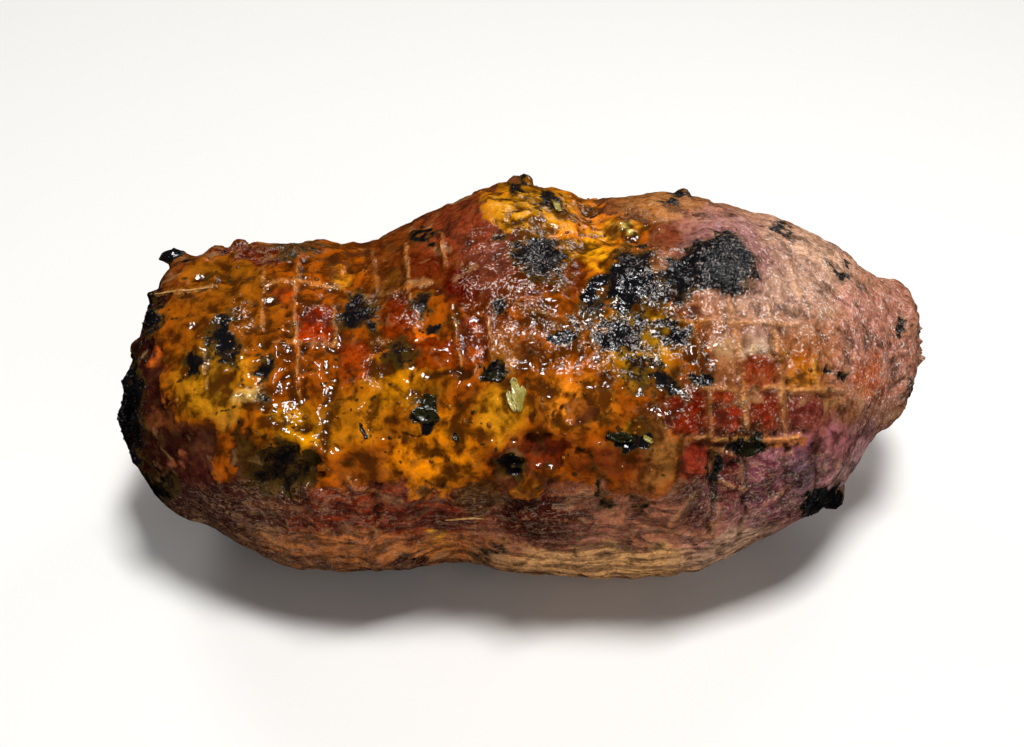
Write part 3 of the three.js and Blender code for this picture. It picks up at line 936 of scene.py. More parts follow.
def add_node(
    tree: bpy.types.NodeTree,
    kind: str,
    settings: dict[str | int, object] | None = None,
    links: dict[str | int, Socket] | None = None,
    out: str | int = 0,
) -> Socket:
    """Adds a node with its settings and links.

    Args:
        tree: The node tree.
        kind: The node's type.
        settings: Values by property name, or by input name or number.
        links: Output sockets by the input that they feed.
        out: Name or number of the output that is wanted.

    Returns:
        That output of the node.
    """
    node = tree.nodes.new(kind)
    for name, value in (settings or {}).items():
        if isinstance(name, str) and hasattr(node, name):
            setattr(node, name, value)
        else:
            node.inputs[name].default_value = value
    for name, socket in (links or {}).items():
        tree.links.new(socket, node.inputs[name])
    return node.outputs[out]


def new_material(name: str) -> tuple[bpy.types.Material, bpy.types.NodeTree, bpy.types.Node]:
    """Starts a material with a bare shader.

    Args:
        name: The material's name.

    Returns:
        The material, its tree, and its shader node.
    """
    material = bpy.data.materials.new(name)
    material.use_nodes = True
    tree = material.node_tree
    return material, tree, tree.nodes["Principled BSDF"]


@dataclass(frozen=True)
class RoastCrust:
    """Roast pork skin under a mustard glaze: a wet, craggy film over browned skin and bare meat.

    The colour carries painted highlights, pale glint specks in clumps, and painted shade that darkens pits
    and creases; it is brown where the glaze lies thinly and caught, black where it burnt, and pale in threads
    where the net kept the skin from browning. The sizes are those of the noises' bumps.
    """

    blotch: float = 8.0 * MM
    smear: float = 2.8 * MM
    crinkle: float = 1.3 * MM
    swell: float = 3.2 * MM
    ripple: float = 1.1 * MM
    ember: float = 1.0 * MM
    fibre: float = 3.4 * MM
    fold: float = 9.0 * MM
    dust: float = 2.3 * MM
    glint: float = 0.7 * MM
    ior: float = 1.47
    specular: float = 0.34
    bump: float = 1.1 * MM
    # Painted highlight: the tone of the pale glint specks.
    glint_tone: str = "#f2ddd0"
    thread_tone: str = "#c08a48"
    web_tone: str = "#b58c74"
    # Painted shade: the dark of the creases on the side.
    crease_shade_tone: str = "#2a110c"
    seared: str = "#3a1a10"
    fatty: str = "#b98a58"
    # Brown of caught glaze, also laid in the glaze's pits as painted shade.
    caught: str = "#452006"
    olive: str = "#4a3a12"
    char: str = "#0d0d10"
    char_brown: str = "#2a1a10"
    herb: str = "#1f230e"
    # Painted shade: the near-black brown that pits and creases are darkened toward.
    pit_shade_tone: str = "#240f07"

    def material(self) -> bpy.types.Material:
        """Makes the material.

        Returns:
            The material, which reads the skin's own attributes.
        """
        material, tree, shader = new_material("glazed_roast_pork_skin")
        place = add_node(tree, "ShaderNodeTexCoord", out="Object")
        amounts = ("glaze", "char", "thread", "line", "cavity", "side", "dry", "smooth", "sparkle")
        read = {n: add_node(tree, "ShaderNodeAttribute", {"attribute_name": n}, out="Fac") for n in amounts}
        for name in ("meat", "glaze_tone"):
            read[name] = add_node(tree, "ShaderNodeAttribute", {"attribute_name": name}, out="Color")
        for name, size, detail in (
            ("blotch", self.blotch, 3.0),
            ("smear", self.smear, 4.0),
            ("crinkle", self.crinkle, 2.0),
            ("swell", self.swell, 0.5),
            ("ripple", self.ripple, 0.0),
        ):
            values = {"Scale": 1 / size, "Detail": detail, "Roughness": 0.6, "Distortion": 0.4}
            read[name] = add_node(tree, NOISE, values, {"Vector": place})

        clump = add_node(tree, RANGE, {1: 0.46, 2: 0.6, 3: 0.0, 4: 1.0}, {0: read["smear"]})
        read["clump"] = add_node(tree, MATH, {"operation": "MULTIPLY"}, {0: clump, 1: read["sparkle"]})
        meat, web = self._meat(tree, place, read)
        cover = self._cover(tree, read)
        glaze = self._glaze(tree, place, read)
        colour = add_node(tree, MIX, {"data_type": "RGBA"}, {0: cover, 6: meat, 7: glaze}, out=2)
        # Painted shade: the deeper a point lies below its neighbourhood, or in a named crease, the darker it
        # is painted.
        pit = add_node(tree, RANGE, {1: 0.57, 2: 0.95, 3: 0.0, 4: 0.85}, {0: read["cavity"]})
        tone = {"data_type": "RGBA", 7: linear(self.pit_shade_tone)}
        colour = add_node(tree, MIX, tone, {0: pit, 6: colour}, out=2)
        thread = self._thread(tree, read)
        paler = add_node(tree, VECTOR, {"operation": "SCALE", "Scale": 2.0}, {0: colour})
        tone = {"data_type": "RGBA", 0: 0.5, 7: linear(self.thread_tone)}
        paler = add_node(tree, MIX, tone, {6: paler}, out=2)
        colour = add_node(tree, MIX, {"data_type": "RGBA"}, {0: thread, 6: colour, 7: paler}, out=2)
        colour, black = self._char(tree, read, colour)
        colour = self._glints(tree, place, read, colour, black)
        gloss = self._gloss(tree, read, black)
        normal = self._relief(tree, place, read, thread, web, black)

        for socket, source in (("Base Color", colour), ("Roughness", gloss), ("Normal", normal)):
            tree.links.new(source, shader.inputs[socket])
        shader.inputs["IOR"].default_value = self.ior
        shader.inputs["Specular IOR Level"].default_value = self.specular
        return material

    def _meat(
        self, tree: bpy.types.NodeTree, place: Socket, read: dict[str, Socket]
    ) -> tuple[Socket, Socket]:
        """Mottled bare skin, with a web of pale fibres where it dried, and painted shade on the side: dark
        lines where creases fall into shade.

        Args:
            tree: The node tree.
            place: Object coordinates.
            read: The attributes and noises by name.

        Returns:
            The colour, and the amount of web.
        """
        mottle = add_node(tree, RANGE, {1: 0.32, 2: 0.68, 3: 0.45, 4: 1.5}, {0: read["smear"]})
        speckle = add_node(tree, RANGE, {1: 0.3, 2: 0.7, 3: 0.65, 4: 1.35}, {0: read["crinkle"]})
        patchy = add_node(tree, MATH, {"operation": "MULTIPLY"}, {0: mottle, 1: speckle})
        meat = add_node(tree, VECTOR, {"operation": "SCALE"}, {0: read["meat"], "Scale": patchy})
        for tone, low, high, most in ((self.seared, 0.47, 0.36, 0.75), (self.fatty, 0.58, 0.68, 0.45)):
            share = add_node(tree, RANGE, {1: low, 2: high, 3: 0.0, 4: most}, {0: read["blotch"]})
            values = {"data_type": "RGBA", 7: linear(tone)}
            meat = add_node(tree, MIX, values, {0: share, 6: meat}, out=2)
        share = add_node(tree, RANGE, {1: 0.54, 2: 0.68, 3: 0.0, 4: 0.6}, {0: read["crinkle"]})
        share = add_node(tree, MATH, {"operation": "MULTIPLY"}, {0: share, 1: read["dry"]})
        values = {"data_type": "RGBA", 7: linear(self.fatty)}
        meat = add_node(tree, MIX, values, {0: share, 6: meat}, out=2)
        lines = []
        for lean, width, size, bend in (
            (0.75, 0.016, self.fibre, 0.5),
            (-0.45, 0.013, self.fibre, 0.5),
            (0.5, 0.09, self.fold, 0.8),
        ):
            values = {"Rotation": (0.0, lean, 0.0), "Scale": (0.3, 0.8, 1.3)}
            strung = add_node(tree, "ShaderNodeMapping", values, {"Vector": place})
            values = {"Scale": 1 / size, "Detail": 3.0, "Roughness": 0.6, "Distortion": bend}
            strand = add_node(tree, NOISE, values, {"Vector": strung})
            off = add_node(tree, MATH, {"operation": "SUBTRACT", 1: 0.5}, {0: strand})
            off = add_node(tree, MATH, {"operation": "ABSOLUTE"}, {0: off})
            lines.append(add_node(tree, RANGE, {1: width, 2: 0.0, 3: 0.0, 4: 0.5}, {0: off}))
        line = add_node(tree, MATH, {"operation": "MAXIMUM"}, {0: lines[0], 1: lines[1]})
        # Painted shade: dark crease lines on the side, with no relief under them.
        crease_shade = add_node(tree, MATH, {"operation": "MULTIPLY", 1: 1.5}, {0: lines[2]})
        crease_shade = add_node(tree, MATH, {"operation": "MULTIPLY"}, {0: crease_shade, 1: read["side"]})
        tone = {"data_type": "RGBA", 7: linear(self.crease_shade_tone)}
        meat = add_node(tree, MIX, tone, {0: crease_shade, 6: meat}, out=2)
        web = add_node(tree, MATH, {"operation": "MULTIPLY"}, {0: line, 1: read["dry"]})
        tone = {"data_type": "RGBA", 7: linear(self.web_tone)}
        return add_node(tree, MIX, tone, {0: web, 6: meat}, out=2), web

    def _cover(self, tree: bpy.types.NodeTree, read: dict[str, Socket]) -> Socket:
        """Where the glaze lies, broken up at its edge.

        Args:
            tree: The node tree.
            read: The attributes and noises by name.

        Returns:
            From 0 bare to 1 glazed.
        """
        broken = add_node(tree, MATH, {"operation": "MULTIPLY_ADD", 1: 0.9, 2: -0.45}, {0: read["smear"]})
        film = add_node(tree, MATH, {"operation": "ADD"}, {0: read["glaze"], 1: broken})
        return add_node(tree, RANGE, {1: 0.30, 2: 0.52, 3: 0.0, 4: 1.0}, {0: film})

    def _glaze(self, tree: bpy.types.NodeTree, place: Socket, read: dict[str, Socket]) -> Socket:
        """Mustard glaze, browned where it lies thinly, with herb dust in it. Painted shade makes it darker
        and browner in pits, and painted light makes it brighter on crests.

        Args:
            tree: The node tree.
            place: Object coordinates.
            read: The attributes and noises by name.

        Returns:
            The colour.
        """
        wide = add_node(tree, MATH, {"operation": "MULTIPLY", 1: 0.9}, {0: read["blotch"]})
        rough = add_node(tree, MATH, {"operation": "MULTIPLY_ADD", 1: 0.4}, {0: read["smear"], 2: wide})
        rough = add_node(tree, MATH, {"operation": "MULTIPLY_ADD", 1: 0.12}, {0: read["crinkle"], 2: rough})
        # Painted shade and light: depth darkens and browns the glaze in pits and brightens it on crests.
        rough = add_node(tree, MATH, {"operation": "MULTIPLY_ADD", 1: -0.6}, {0: read["cavity"], 2: rough})
        bright = add_node(tree, RANGE, {1: 0.29, 2: 0.65, 3: 0.35, 4: 1.6}, {0: rough})
        glaze = add_node(tree, VECTOR, {"operation": "SCALE"}, {0: read["glaze_tone"], "Scale": bright})
        caught_and_shaded = add_node(tree, RANGE, {1: 0.42, 2: 0.25, 3: 0.0, 4: 0.85}, {0: rough})
        tone = {"data_type": "RGBA", 7: linear(self.caught)}
        glaze = add_node(tree, MIX, tone, {0: caught_and_shaded, 6: glaze}, out=2)
        spots = add_node(tree, NOISE, {"Scale": 1 / self.dust, "Detail": 1.0}, {"Vector": place})
        spots = add_node(tree, RANGE, {1: 0.31, 2: 0.26, 3: 0.0, 4: 0.85}, {0: spots})
        tone = {"data_type": "RGBA", 7: linear(self.herb)}
        return add_node(tree, MIX, tone, {0: spots, 6: glaze}, out=2)

    def _thread(self, tree: bpy.types.NodeTree, read: dict[str, Socket]) -> Socket:
        """The pale lines that the net left, worn away in places.

        Args:
            tree: The node tree.
            read: The attributes and noises by name.

        Returns:
            From 0 off a line to 1 on it.
        """
        shaken = add_node(tree, MATH, {"operation": "MULTIPLY_ADD", 1: 0.9, 2: -0.45}, {0: read["crinkle"]})
        away = add_node(tree, MATH, {"operation": "ADD"}, {0: read["line"], 1: shaken})
        line = add_node(tree, RANGE, {1: 0.9, 2: 0.35, 3: 0.0, 4: 1.0}, {0: away})
        worn = add_node(tree, RANGE, {1: 0.34, 2: 0.5, 3: 0.15, 4: 1.0}, {0: read["smear"]})
        line = add_node(tree, MATH, {"operation": "MULTIPLY"}, {0: line, 1: worn})
        return add_node(tree, MATH, {"operation": "MULTIPLY"}, {0: line, 1: read["thread"]})

    def _char(
        self, tree: bpy.types.NodeTree, read: dict[str, Socket], colour: Socket
    ) -> tuple[Socket, Socket]:
        """Burnt patches: an olive brown rim, then brown, then black.

        Args:
            tree: The node tree.
            read: The attributes and noises by name.
            colour: The colour so far.

        Returns:
            The colour with the char over it, and the amount of black.
        """
        shaken = add_node(tree, MATH, {"operation": "MULTIPLY_ADD", 1: 1.2, 2: -1.0}, {0: read["smear"]})
        shaken = add_node(tree, MATH, {"operation": "MULTIPLY_ADD", 1: 0.8}, {0: read["crinkle"], 2: shaken})
        burnt = add_node(tree, MATH, {"operation": "ADD"}, {0: read["char"], 1: shaken})
        for tone, low, high, most in (
            (self.olive, 0.06, 0.36, 0.75),
            (self.char_brown, 0.28, 0.5, 0.9),
            (self.char, 0.42, 0.72, 0.97),
        ):
            share = add_node(tree, RANGE, {1: low, 2: high, 3: 0.0, 4: most}, {0: burnt})
            values = {"data_type": "RGBA", 7: linear(tone)}
            colour = add_node(tree, MIX, values, {0: share, 6: colour}, out=2)
        return colour, share

    def _glints(
        self, tree: bpy.types.NodeTree, place: Socket, read: dict[str, Socket], colour: Socket, black: Socket
    ) -> Socket:
        """Painted highlights: pale glint specks, thickest where the sparkle layer is strong.

        Args:
            tree: The node tree.
            place: Object coordinates.
            read: The attributes and noises by name.
            colour: The colour so far.
            black: The amount of char, which carries fewer of them.

        Returns:
            The colour with the specks on it.
        """
        # Painted highlights: pale specks where a fine noise peaks, within the sparkle layer's clumps.
        glint_noise = add_node(tree, NOISE, {"Scale": 1 / self.glint, "Detail": 1.0}, {"Vector": place})
        specks = add_node(tree, RANGE, {1: 0.54, 2: 0.64, 3: 0.0, 4: 0.95}, {0: glint_noise})
        share = add_node(tree, MATH, {"operation": "MULTIPLY"}, {0: specks, 1: read["clump"]})
        bare = add_node(tree, RANGE, {3: 1.0, 4: 0.3}, {0: black})
        share = add_node(tree, MATH, {"operation": "MULTIPLY", "use_clamp": True}, {0: share, 1: bare})
        values = {"data_type": "RGBA", 7: linear(self.glint_tone)}
        return add_node(tree, MIX, values, {0: share, 6: colour}, out=2)

    def _gloss(self, tree: bpy.types.NodeTree, read: dict[str, Socket], black: Socket) -> Socket:
        """Roughness: wet on top, satin on the side, drier on char.

        Args:
            tree: The node tree.
            read: The attributes and noises by name.
            black: The amount of char.

        Returns:
            The roughness.
        """
        level = add_node(tree, RANGE, {3: 0.06, 4: 0.24}, {0: read["dry"]})
        streak = add_node(tree, RANGE, {1: 0.45, 2: 0.7, 3: 0.0, 4: 0.14}, {0: read["smear"]})
        level = add_node(tree, MATH, {"operation": "ADD"}, {0: level, 1: streak})
        level = add_node(tree, MATH, {"operation": "MULTIPLY_ADD", 1: 0.05}, {0: black, 2: level})
        values = {"operation": "MULTIPLY_ADD", 1: -0.01, "use_clamp": True}
        return add_node(tree, MATH, values, {0: read["smooth"], 2: level})

    def _relief(
        self,
        tree: bpy.types.NodeTree,
        place: Socket,
        read: dict[str, Socket],
        thread: Socket,
        web: Socket,
        black: Socket,
    ) -> Socket:
        """Relief that is too fine for the mesh.

        Args:
            tree: The node tree.
            place: Object coordinates.
            read: The attributes and noises by name.
            thread: The amount of net line.
            web: The amount of pale fibre.
            black: The amount of char.

        Returns:
            The normal.
        """
        calm = add_node(tree, RANGE, {3: 0.14, 4: 0.5}, {0: read["clump"]})
        height = add_node(tree, MATH, {"operation": "MULTIPLY"}, {0: read["ripple"], 1: calm})
        height = add_node(tree, MATH, {"operation": "MULTIPLY_ADD", 1: 0.4}, {0: read["swell"], 2: height})
        height = add_node(tree, MATH, {"operation": "MULTIPLY_ADD", 1: 0.35}, {0: thread, 2: height})
        height = add_node(tree, MATH, {"operation": "MULTIPLY_ADD", 1: 0.2}, {0: web, 2: height})
        dried = add_node(tree, MATH, {"operation": "MULTIPLY"}, {0: read["crinkle"], 1: read["dry"]})
        height = add_node(tree, MATH, {"operation": "MULTIPLY_ADD", 1: 0.9}, {0: dried, 2: height})
        values = {"feature": "SMOOTH_F1", "Scale": 1 / self.ember}
        grains = add_node(tree, CELLS, values, {"Vector": place}, out="Distance")
        grains = add_node(tree, MATH, {"operation": "MULTIPLY"}, {0: grains, 1: black})
        height = add_node(tree, MATH, {"operation": "MULTIPLY_ADD", 1: -0.16}, {0: grains, 2: height})
        return add_node(tree, "ShaderNodeBump", {"Strength": 1.0, "Distance": self.bump}, {"Height": height})


def read_rows(source: bpy.types.bpy_prop_collection, name: str, width: int, kind: type = float) -> np.ndarray:
    """Reads one value of every item of a mesh.

    Args:
        source: The items, such as the mesh's vertices.
        name: Name of the value.
        width: How many numbers it has.
        kind: Type of the numbers.

    Returns:
        A row for each item.
    """
    flat = np.empty(len(source) * width, dtype=kind)
    source.foreach_get(name, flat)
    return flat.reshape(-1, width)


def read_points(mesh: bpy.types.Mesh) -> np.ndarray:
    """The mesh's points, in mm."""
    return read_rows(mesh.vertices, "co", 3) / MM


def read_normals(mesh: bpy.types.Mesh) -> np.ndarray:
    """The unit normals at the mesh's points."""
    return read_rows(mesh.vertex_normals, "vector", 3, np.float32).astype(float)


def write_points(mesh: bpy.types.Mesh, points: np.ndarray) -> None:
    """Moves the mesh's points.

    Args:
        mesh: The mesh.
        points: Their new places, in mm.
    """
    mesh.vertices.foreach_set("co", (points * MM).ravel())
    mesh.update()


def write_layer(mesh: bpy.types.Mesh, name: str, values: np.ndarray) -> None:
    """Stores an amount or a colour at each point.

    Args:
        mesh: The mesh.
        name: Name of the layer, as the material reads it.
        values: One number, or one colour, for each point.
    """
    if values.ndim == 2:
        layer = mesh.attributes.new(name, "FLOAT_COLOR", "POINT")
        layer.data.foreach_set("color", values.astype(np.float32).ravel())
    else:
        layer = mesh.attributes.new(name, "FLOAT", "POINT")
        layer.data.foreach_set("value", values.astype(np.float32))


def search_tree(mesh: bpy.types.Mesh) -> BVHTree:
    """Makes a search tree of a mesh at the origin.

    Args:
        mesh: The mesh.

    Returns:
        The tree, in metres.
    """
    work = bmesh.new()
    work.from_mesh(mesh)
    tree = BVHTree.FromBMesh(work)
    work.free()
    return tree


def depth_of(mesh: bpy.types.Mesh, points: np.ndarray, rounds: int = 7, span: float = 1.6) -> np.ndarray:
    """How deep each point lies below its neighbourhood.

    Args:
        mesh: The mesh.
        points: Its points, in mm.
        rounds: How many times the neighbourhood is widened by one edge.
        span: Height in mm from the top of a crest to the bottom of a pit.

    Returns:
        0 on a crest, a half on level skin, and 1 in a pit.
    """
    edges = read_rows(mesh.edges, "vertices", 2, np.int32)
    first, second = edges.T
    count = np.bincount(edges.ravel(), minlength=len(points))[:, None]
    level = points.copy()
    for _ in range(rounds):
        total = np.zeros_like(level)
        for axis in range(3):
            total[:, axis] = np.bincount(first, level[second, axis], len(points))
            total[:, axis] += np.bincount(second, level[first, axis], len(points))
        level = 0.5 * level + 0.5 * total / count
    below = np.einsum("ij,ij->i", level - points, read_normals(mesh))
    return np.clip(0.5 + below / span, 0.0, 1.0)


@dataclass
class RoastSkin:
    """The roast's whole surface, at full detail, in place of the plain solid. Relief is in mm."""

    paint: PaintBox
    voxel: float = 1.08 * MM
    lump: float = 0.85
    crag: float = 0.5
    granule: float = 0.35
    film: float = 0.7
    groove: float = 0.6
    level: float = 1.3
    ridge: float = 0.8
    ridge_width: float = 0.8
    crack: float = 1.3
    pillow: float = 1.1
    rest_clearance: float = 1.5
    lump_size: float = 6.5
    crag_size: float = 4.2
    granule_size: float = 1.9
    level_width: float = 2.2
    gutter: tuple[float, float] = (2.0, 0.9)
    layers: dict[str, np.ndarray] = field(default_factory=dict)

    def dense_mesh(self) -> bpy.types.Object:
        """Copies the solid, rounds its facets and gives it an even, dense mesh.

        Returns:
            The new object, at the origin.
        """
        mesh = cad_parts["roast_leg"].data.copy()
        work = bmesh.new()
        work.from_mesh(mesh)
        bmesh.ops.remove_doubles(work, verts=work.verts, dist=1e-6)
        flat_enough = math.radians(60)
        bmesh.ops.join_triangles(
            work, faces=work.faces, angle_face_threshold=flat_enough, angle_shape_threshold=flat_enough
        )
        work.to_mesh(mesh)
        work.free()
        mesh.materials.clear()
        skin = bpy.data.objects.new("roast_skin", mesh)
        bpy.context.scene.collection.objects.link(skin)
        rounding = skin.modifiers.new("rounding", "SUBSURF")
        rounding.levels = rounding.render_levels = 2
        even = skin.modifiers.new("even", "REMESH")
        even.mode, even.voxel_size, even.use_smooth_shade = "VOXEL", self.voxel, True
        depsgraph = bpy.context.evaluated_depsgraph_get()
        dense = bpy.data.meshes.new_from_object(skin.evaluated_get(depsgraph))
        skin.modifiers.clear()
        skin.data = dense
        return skin

    def press_relief(self, skin: bpy.types.Object) -> None:
        """Presses the fine relief into the mesh.

        Args:
            skin: The dense skin.
        """
        points, normals = read_points(skin.data), read_normals(skin.data)
        paint, grain = self.paint, self.paint.grain
        glaze = paint.strongest(points, GLAZE_COVER)
        char = paint.strongest(points, CHAR_AND_SHADE_COVER)
        side = paint.side(points)
        lumps = grain.layered(points, self.lump_size, 2) * self.lump * (0.5 + 0.6 * glaze)
        crags = np.abs(grain.at(points + 90, self.crag_size)) * self.crag
        film = smoothstep(0.3, 0.6, glaze + 0.4 * grain.at(points, 3.2)) * self.film
        coal = paint.strongest(points, COAL_COVER)
        granules = grain.pebbles(points, self.granule_size) * self.granule
        granules = granules * smoothstep(0.3, 0.7, char) * (0.3 + 0.7 * coal)
        level = paint.strongest(points, LEVEL_COVER)
        grooves = smoothstep(0.4, 0.1, paint.net.off_lines(points)) * self.groove * (1 - paint.facing(points))
        away, pale = paint.net_ridges(points)
        ridges = pale * (np.exp(-((away / self.ridge_width) ** 2)) * self.ridge)
        gutter_away, gutter_width = self.gutter
        grooves += pale * 0.5 * np.exp(-(((away - gutter_away) / gutter_width) ** 2))
        film *= 1 - paint.pillows(points)
        lift = (lumps + crags) * (1 - 0.6 * side) + film + granules - grooves + ridges
        lift += paint.heights(points) - 0.3 + paint.pillows(points) * self.pillow
        lift += level * self.level * np.exp(-((paint.net.from_line(points) / self.level_width) ** 2))
        lift -= paint.cracks(points) * self.crack
        grounded = smoothstep(0.1, self.rest_clearance, points[:, 2])
        points += normals * (lift * grounded)[:, None]
        points[:, 2] = np.maximum(points[:, 2], 0.0)
        write_points(skin.data, points)

    def colour(self, skin: bpy.types.Object) -> None:
        """Stores what the crust's material reads at each point.

        Args:
            skin: The skin, with its relief.
        """
        paint, points = self.paint, read_points(skin.data)
        away, pale = paint.net_ridges(points)
        meat = paint.blend(points, MEAT_TONES, "#6b4026")
        smooth = paint.tint_squares(points, meat)
        self.layers = {
            "meat": meat,
            "glaze_tone": paint.blend(points, GLAZE_TONES, "#8a5414"),
            "glaze": np.clip(paint.strongest(points, GLAZE_COVER) - 1.2 * smooth, 0.0, 1.0),
            "char": paint.strongest(points, CHAR_AND_SHADE_COVER),
            "thread": pale,
            "line": away,
            "sparkle": paint.strongest(points, SPARKLE_COVER),
            # Depth below the neighbourhood, or in a named crease, by which the material paints shade.
            "cavity": np.maximum(depth_of(skin.data, points), 0.5 + 0.5 * paint.cracks(points)),
            "side": paint.side(points),
            "smooth": smooth,
        }
        self.layers["coal"] = paint.strongest(points, COAL_COVER)
        self.layers["dry"] = np.maximum(self.layers["side"], paint.strongest(points, DRY_COVER))
        for name, values in self.layers.items():
            write_layer(skin.data, name, values)

    def build(self) -> bpy.types.Object:
        """Makes the skin and dresses it.

        Returns:
            The skin's object.
        """
        skin = self.dense_mesh()
        self.press_relief(skin)
        self.colour(skin)
        skin.data.materials.append(RoastCrust().material())
        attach(skin, "root")
        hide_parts("roast_leg")
        return skin


class Morsel(Enum):
    """What is strewn over the roast."""

    HERB = "herb_flecks"
    EMBER = "char_crumbs"
    CRUST = "crust_crumbs"


@dataclass(frozen=True)
class MorselFinish:
    """Finish of one kind of morsel: a tone that runs from dark to light over its grains."""

    name: str
    dark: str
    light: str
    roughness: float
    relief: float = 0.2 * MM

    def material(self) -> bpy.types.Material:
        """Makes the material.

        Returns:
            The material, which reads each morsel's own shade.
        """
        material, tree, shader = new_material(self.name)
        place = add_node(tree, "ShaderNodeTexCoord", out="Object")
        shade = add_node(tree, "ShaderNodeAttribute", {"attribute_name": "shade"}, out="Fac")
        speck = add_node(tree, NOISE, {"Scale": 1 / (0.8 * MM), "Detail": 2.0}, {"Vector": place})
        mixed = add_node(tree, MATH, {"operation": "MULTIPLY_ADD", 1: 0.8}, {0: speck, 2: shade})
        share = add_node(tree, RANGE, {1: 0.3, 2: 1.5, 3: 0.0, 4: 1.0}, {0: mixed})
        tones = {"data_type": "RGBA", 6: linear(self.dark), 7: linear(self.light)}
        colour = add_node(tree, MIX, tones, {0: share}, out=2)
        worn = add_node(tree, RANGE, {3: self.roughness, 4: self.roughness + 0.12}, {0: speck})
        bump = add_node(tree, "ShaderNodeBump", {"Distance": self.relief, "Strength": 0.6}, {"Height": speck})
        for socket, source in (("Base Color", colour), ("Roughness", worn), ("Normal", bump)):
            tree.links.new(source, shader.inputs[socket])
        return material


# Dried herbs basted in fat: almost black green, slightly glossy.
HERB_FINISH = MorselFinish("roasted_herb_leaf", "#0c0b06", "#2e2c12", 0.2, 0.35 * MM)
# Burnt skin: black grains with a dull sparkle.
EMBER_FINISH = MorselFinish("charred_skin_crumb", "#08090a", "#241c18", 0.22)
# Crumbs of browned skin and crust: from dark caramel to ochre.
CRUST_FINISH = MorselFinish("browned_crust_crumb", "#3a1606", "#9c5a10", 0.18)
# Leek that stayed pale: cream with green veins, wet.
LEEK_FINISH = MorselFinish("roasted_leek_shred", "#7a6c18", "#b9aa66", 0.15)
# Net line and loose sinew: dried skin, tan and dull.
SINEW_FINISH = MorselFinish("dried_skin_thread", "#8a5a26", "#cfa05a", 0.35)


@dataclass(frozen=True)
class Sprinkling:
    """One kind of small morsel strewn over the skin, all in one mesh."""

    morsel: Morsel
    finish: MorselFinish
    count: int
    length: tuple[float, float]
    width: float
    height: float
    likes: dict[str, float]
    seed: int
    sink: float = 0.2
    lowest: float = 14.0

    def build(self, skin: bpy.types.Object, layers: dict[str, np.ndarray]) -> bpy.types.Object:
        """Strews the morsels where the skin's layers are strong.

        Args:
            skin: The skin.
            layers: The skin's amounts by name, one for each point.

        Returns:
            The new piece.
        """
        mesh, draw = skin.data, np.random.default_rng(self.seed)
        faces, count = mesh.polygons, len(mesh.polygons)
        centres, normals = read_rows(faces, "center", 3), read_rows(faces, "normal", 3)
        areas, corners = read_rows(faces, "area", 1)[:, 0], read_rows(faces, "vertices", 4, np.int32)
        chance = sum(share * layers[name][corners].mean(axis=1) for name, share in self.likes.items())
        chance = np.clip(chance, 0, None) * areas * (centres[:, 2] > self.lowest * MM)
        seats = draw.choice(count, self.count, replace=False, p=chance / chance.sum())
        work = bmesh.new()
        for seat in seats:
            up = Vector(normals[seat])
            spin = Quaternion(up, draw.uniform(0, 2 * math.pi)) @ up.to_track_quat("Z", "Y")
            size = draw.uniform(*self.length) / 2 * MM
            scale = Matrix.Diagonal((size, size * self.width, size * self.height, 1.0))
            place = Vector(centres[seat]) + up * size * self.height * (1 - 2 * self.sink)
            matrix = Matrix.Translation(place) @ spin.to_matrix().to_4x4() @ scale
            bmesh.ops.create_icosphere(work, subdivisions=1, radius=1.0, matrix=matrix)
        piece = piece_of(work, self.morsel.value)
        points = read_points(piece.data)
        each = len(points) // self.count
        lengths = np.linalg.norm(points[::each] - points[3::each], axis=1).repeat(each)[: len(points), None]
        points += draw.normal(0, 0.1, points.shape) * lengths
        write_points(piece.data, points)
        write_layer(piece.data, "shade", draw.uniform(0, 1, self.count).repeat(each))
        piece.data.materials.append(self.finish.material())
        return piece


SPRINKLINGS = (
    Sprinkling(Morsel.HERB, HERB_FINISH, 110, (0.5, 1.4), 0.6, 0.3, {"glaze": 1.0, "char": 0.5}, 21, 0.3),
    Sprinkling(Morsel.EMBER, EMBER_FINISH, 520, (0.4, 1.3), 0.8, 0.6, {"coal": 1.0}, 22, 0.35),
    Sprinkling(Morsel.CRUST, CRUST_FINISH, 240, (0.6, 1.9), 0.75, 0.4, {"glaze": 1.0}, 23, 0.4),
)


def piece_of(work: bmesh.types.BMesh, name: str) -> bpy.types.Object:
    """Turns a finished bmesh into a smooth piece that rides on the roast.

    Args:
        work: The bmesh, which is freed.
        name: The piece's name.

    Returns:
        The piece.
    """
    mesh = bpy.data.meshes.new(name)
    work.to_mesh(mesh)
    work.free()
    mesh.polygons.foreach_set("use_smooth", [True] * len(mesh.polygons))
    piece = bpy.data.objects.new(name, mesh)
    bpy.context.scene.collection.objects.link(piece)
    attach(piece, "root")
    return piece


@dataclass(frozen=True)
class Blade:
    """A leaf or shred that lies on the skin: the pixel at its middle, its size in mm and its turn."""

    at: tuple[float, float]
    length: float
    width: float
    turn: float
    lift: float = 0.5
    cup: float = 0.8
    point: float = 0.7
    crumple: float = 0.12


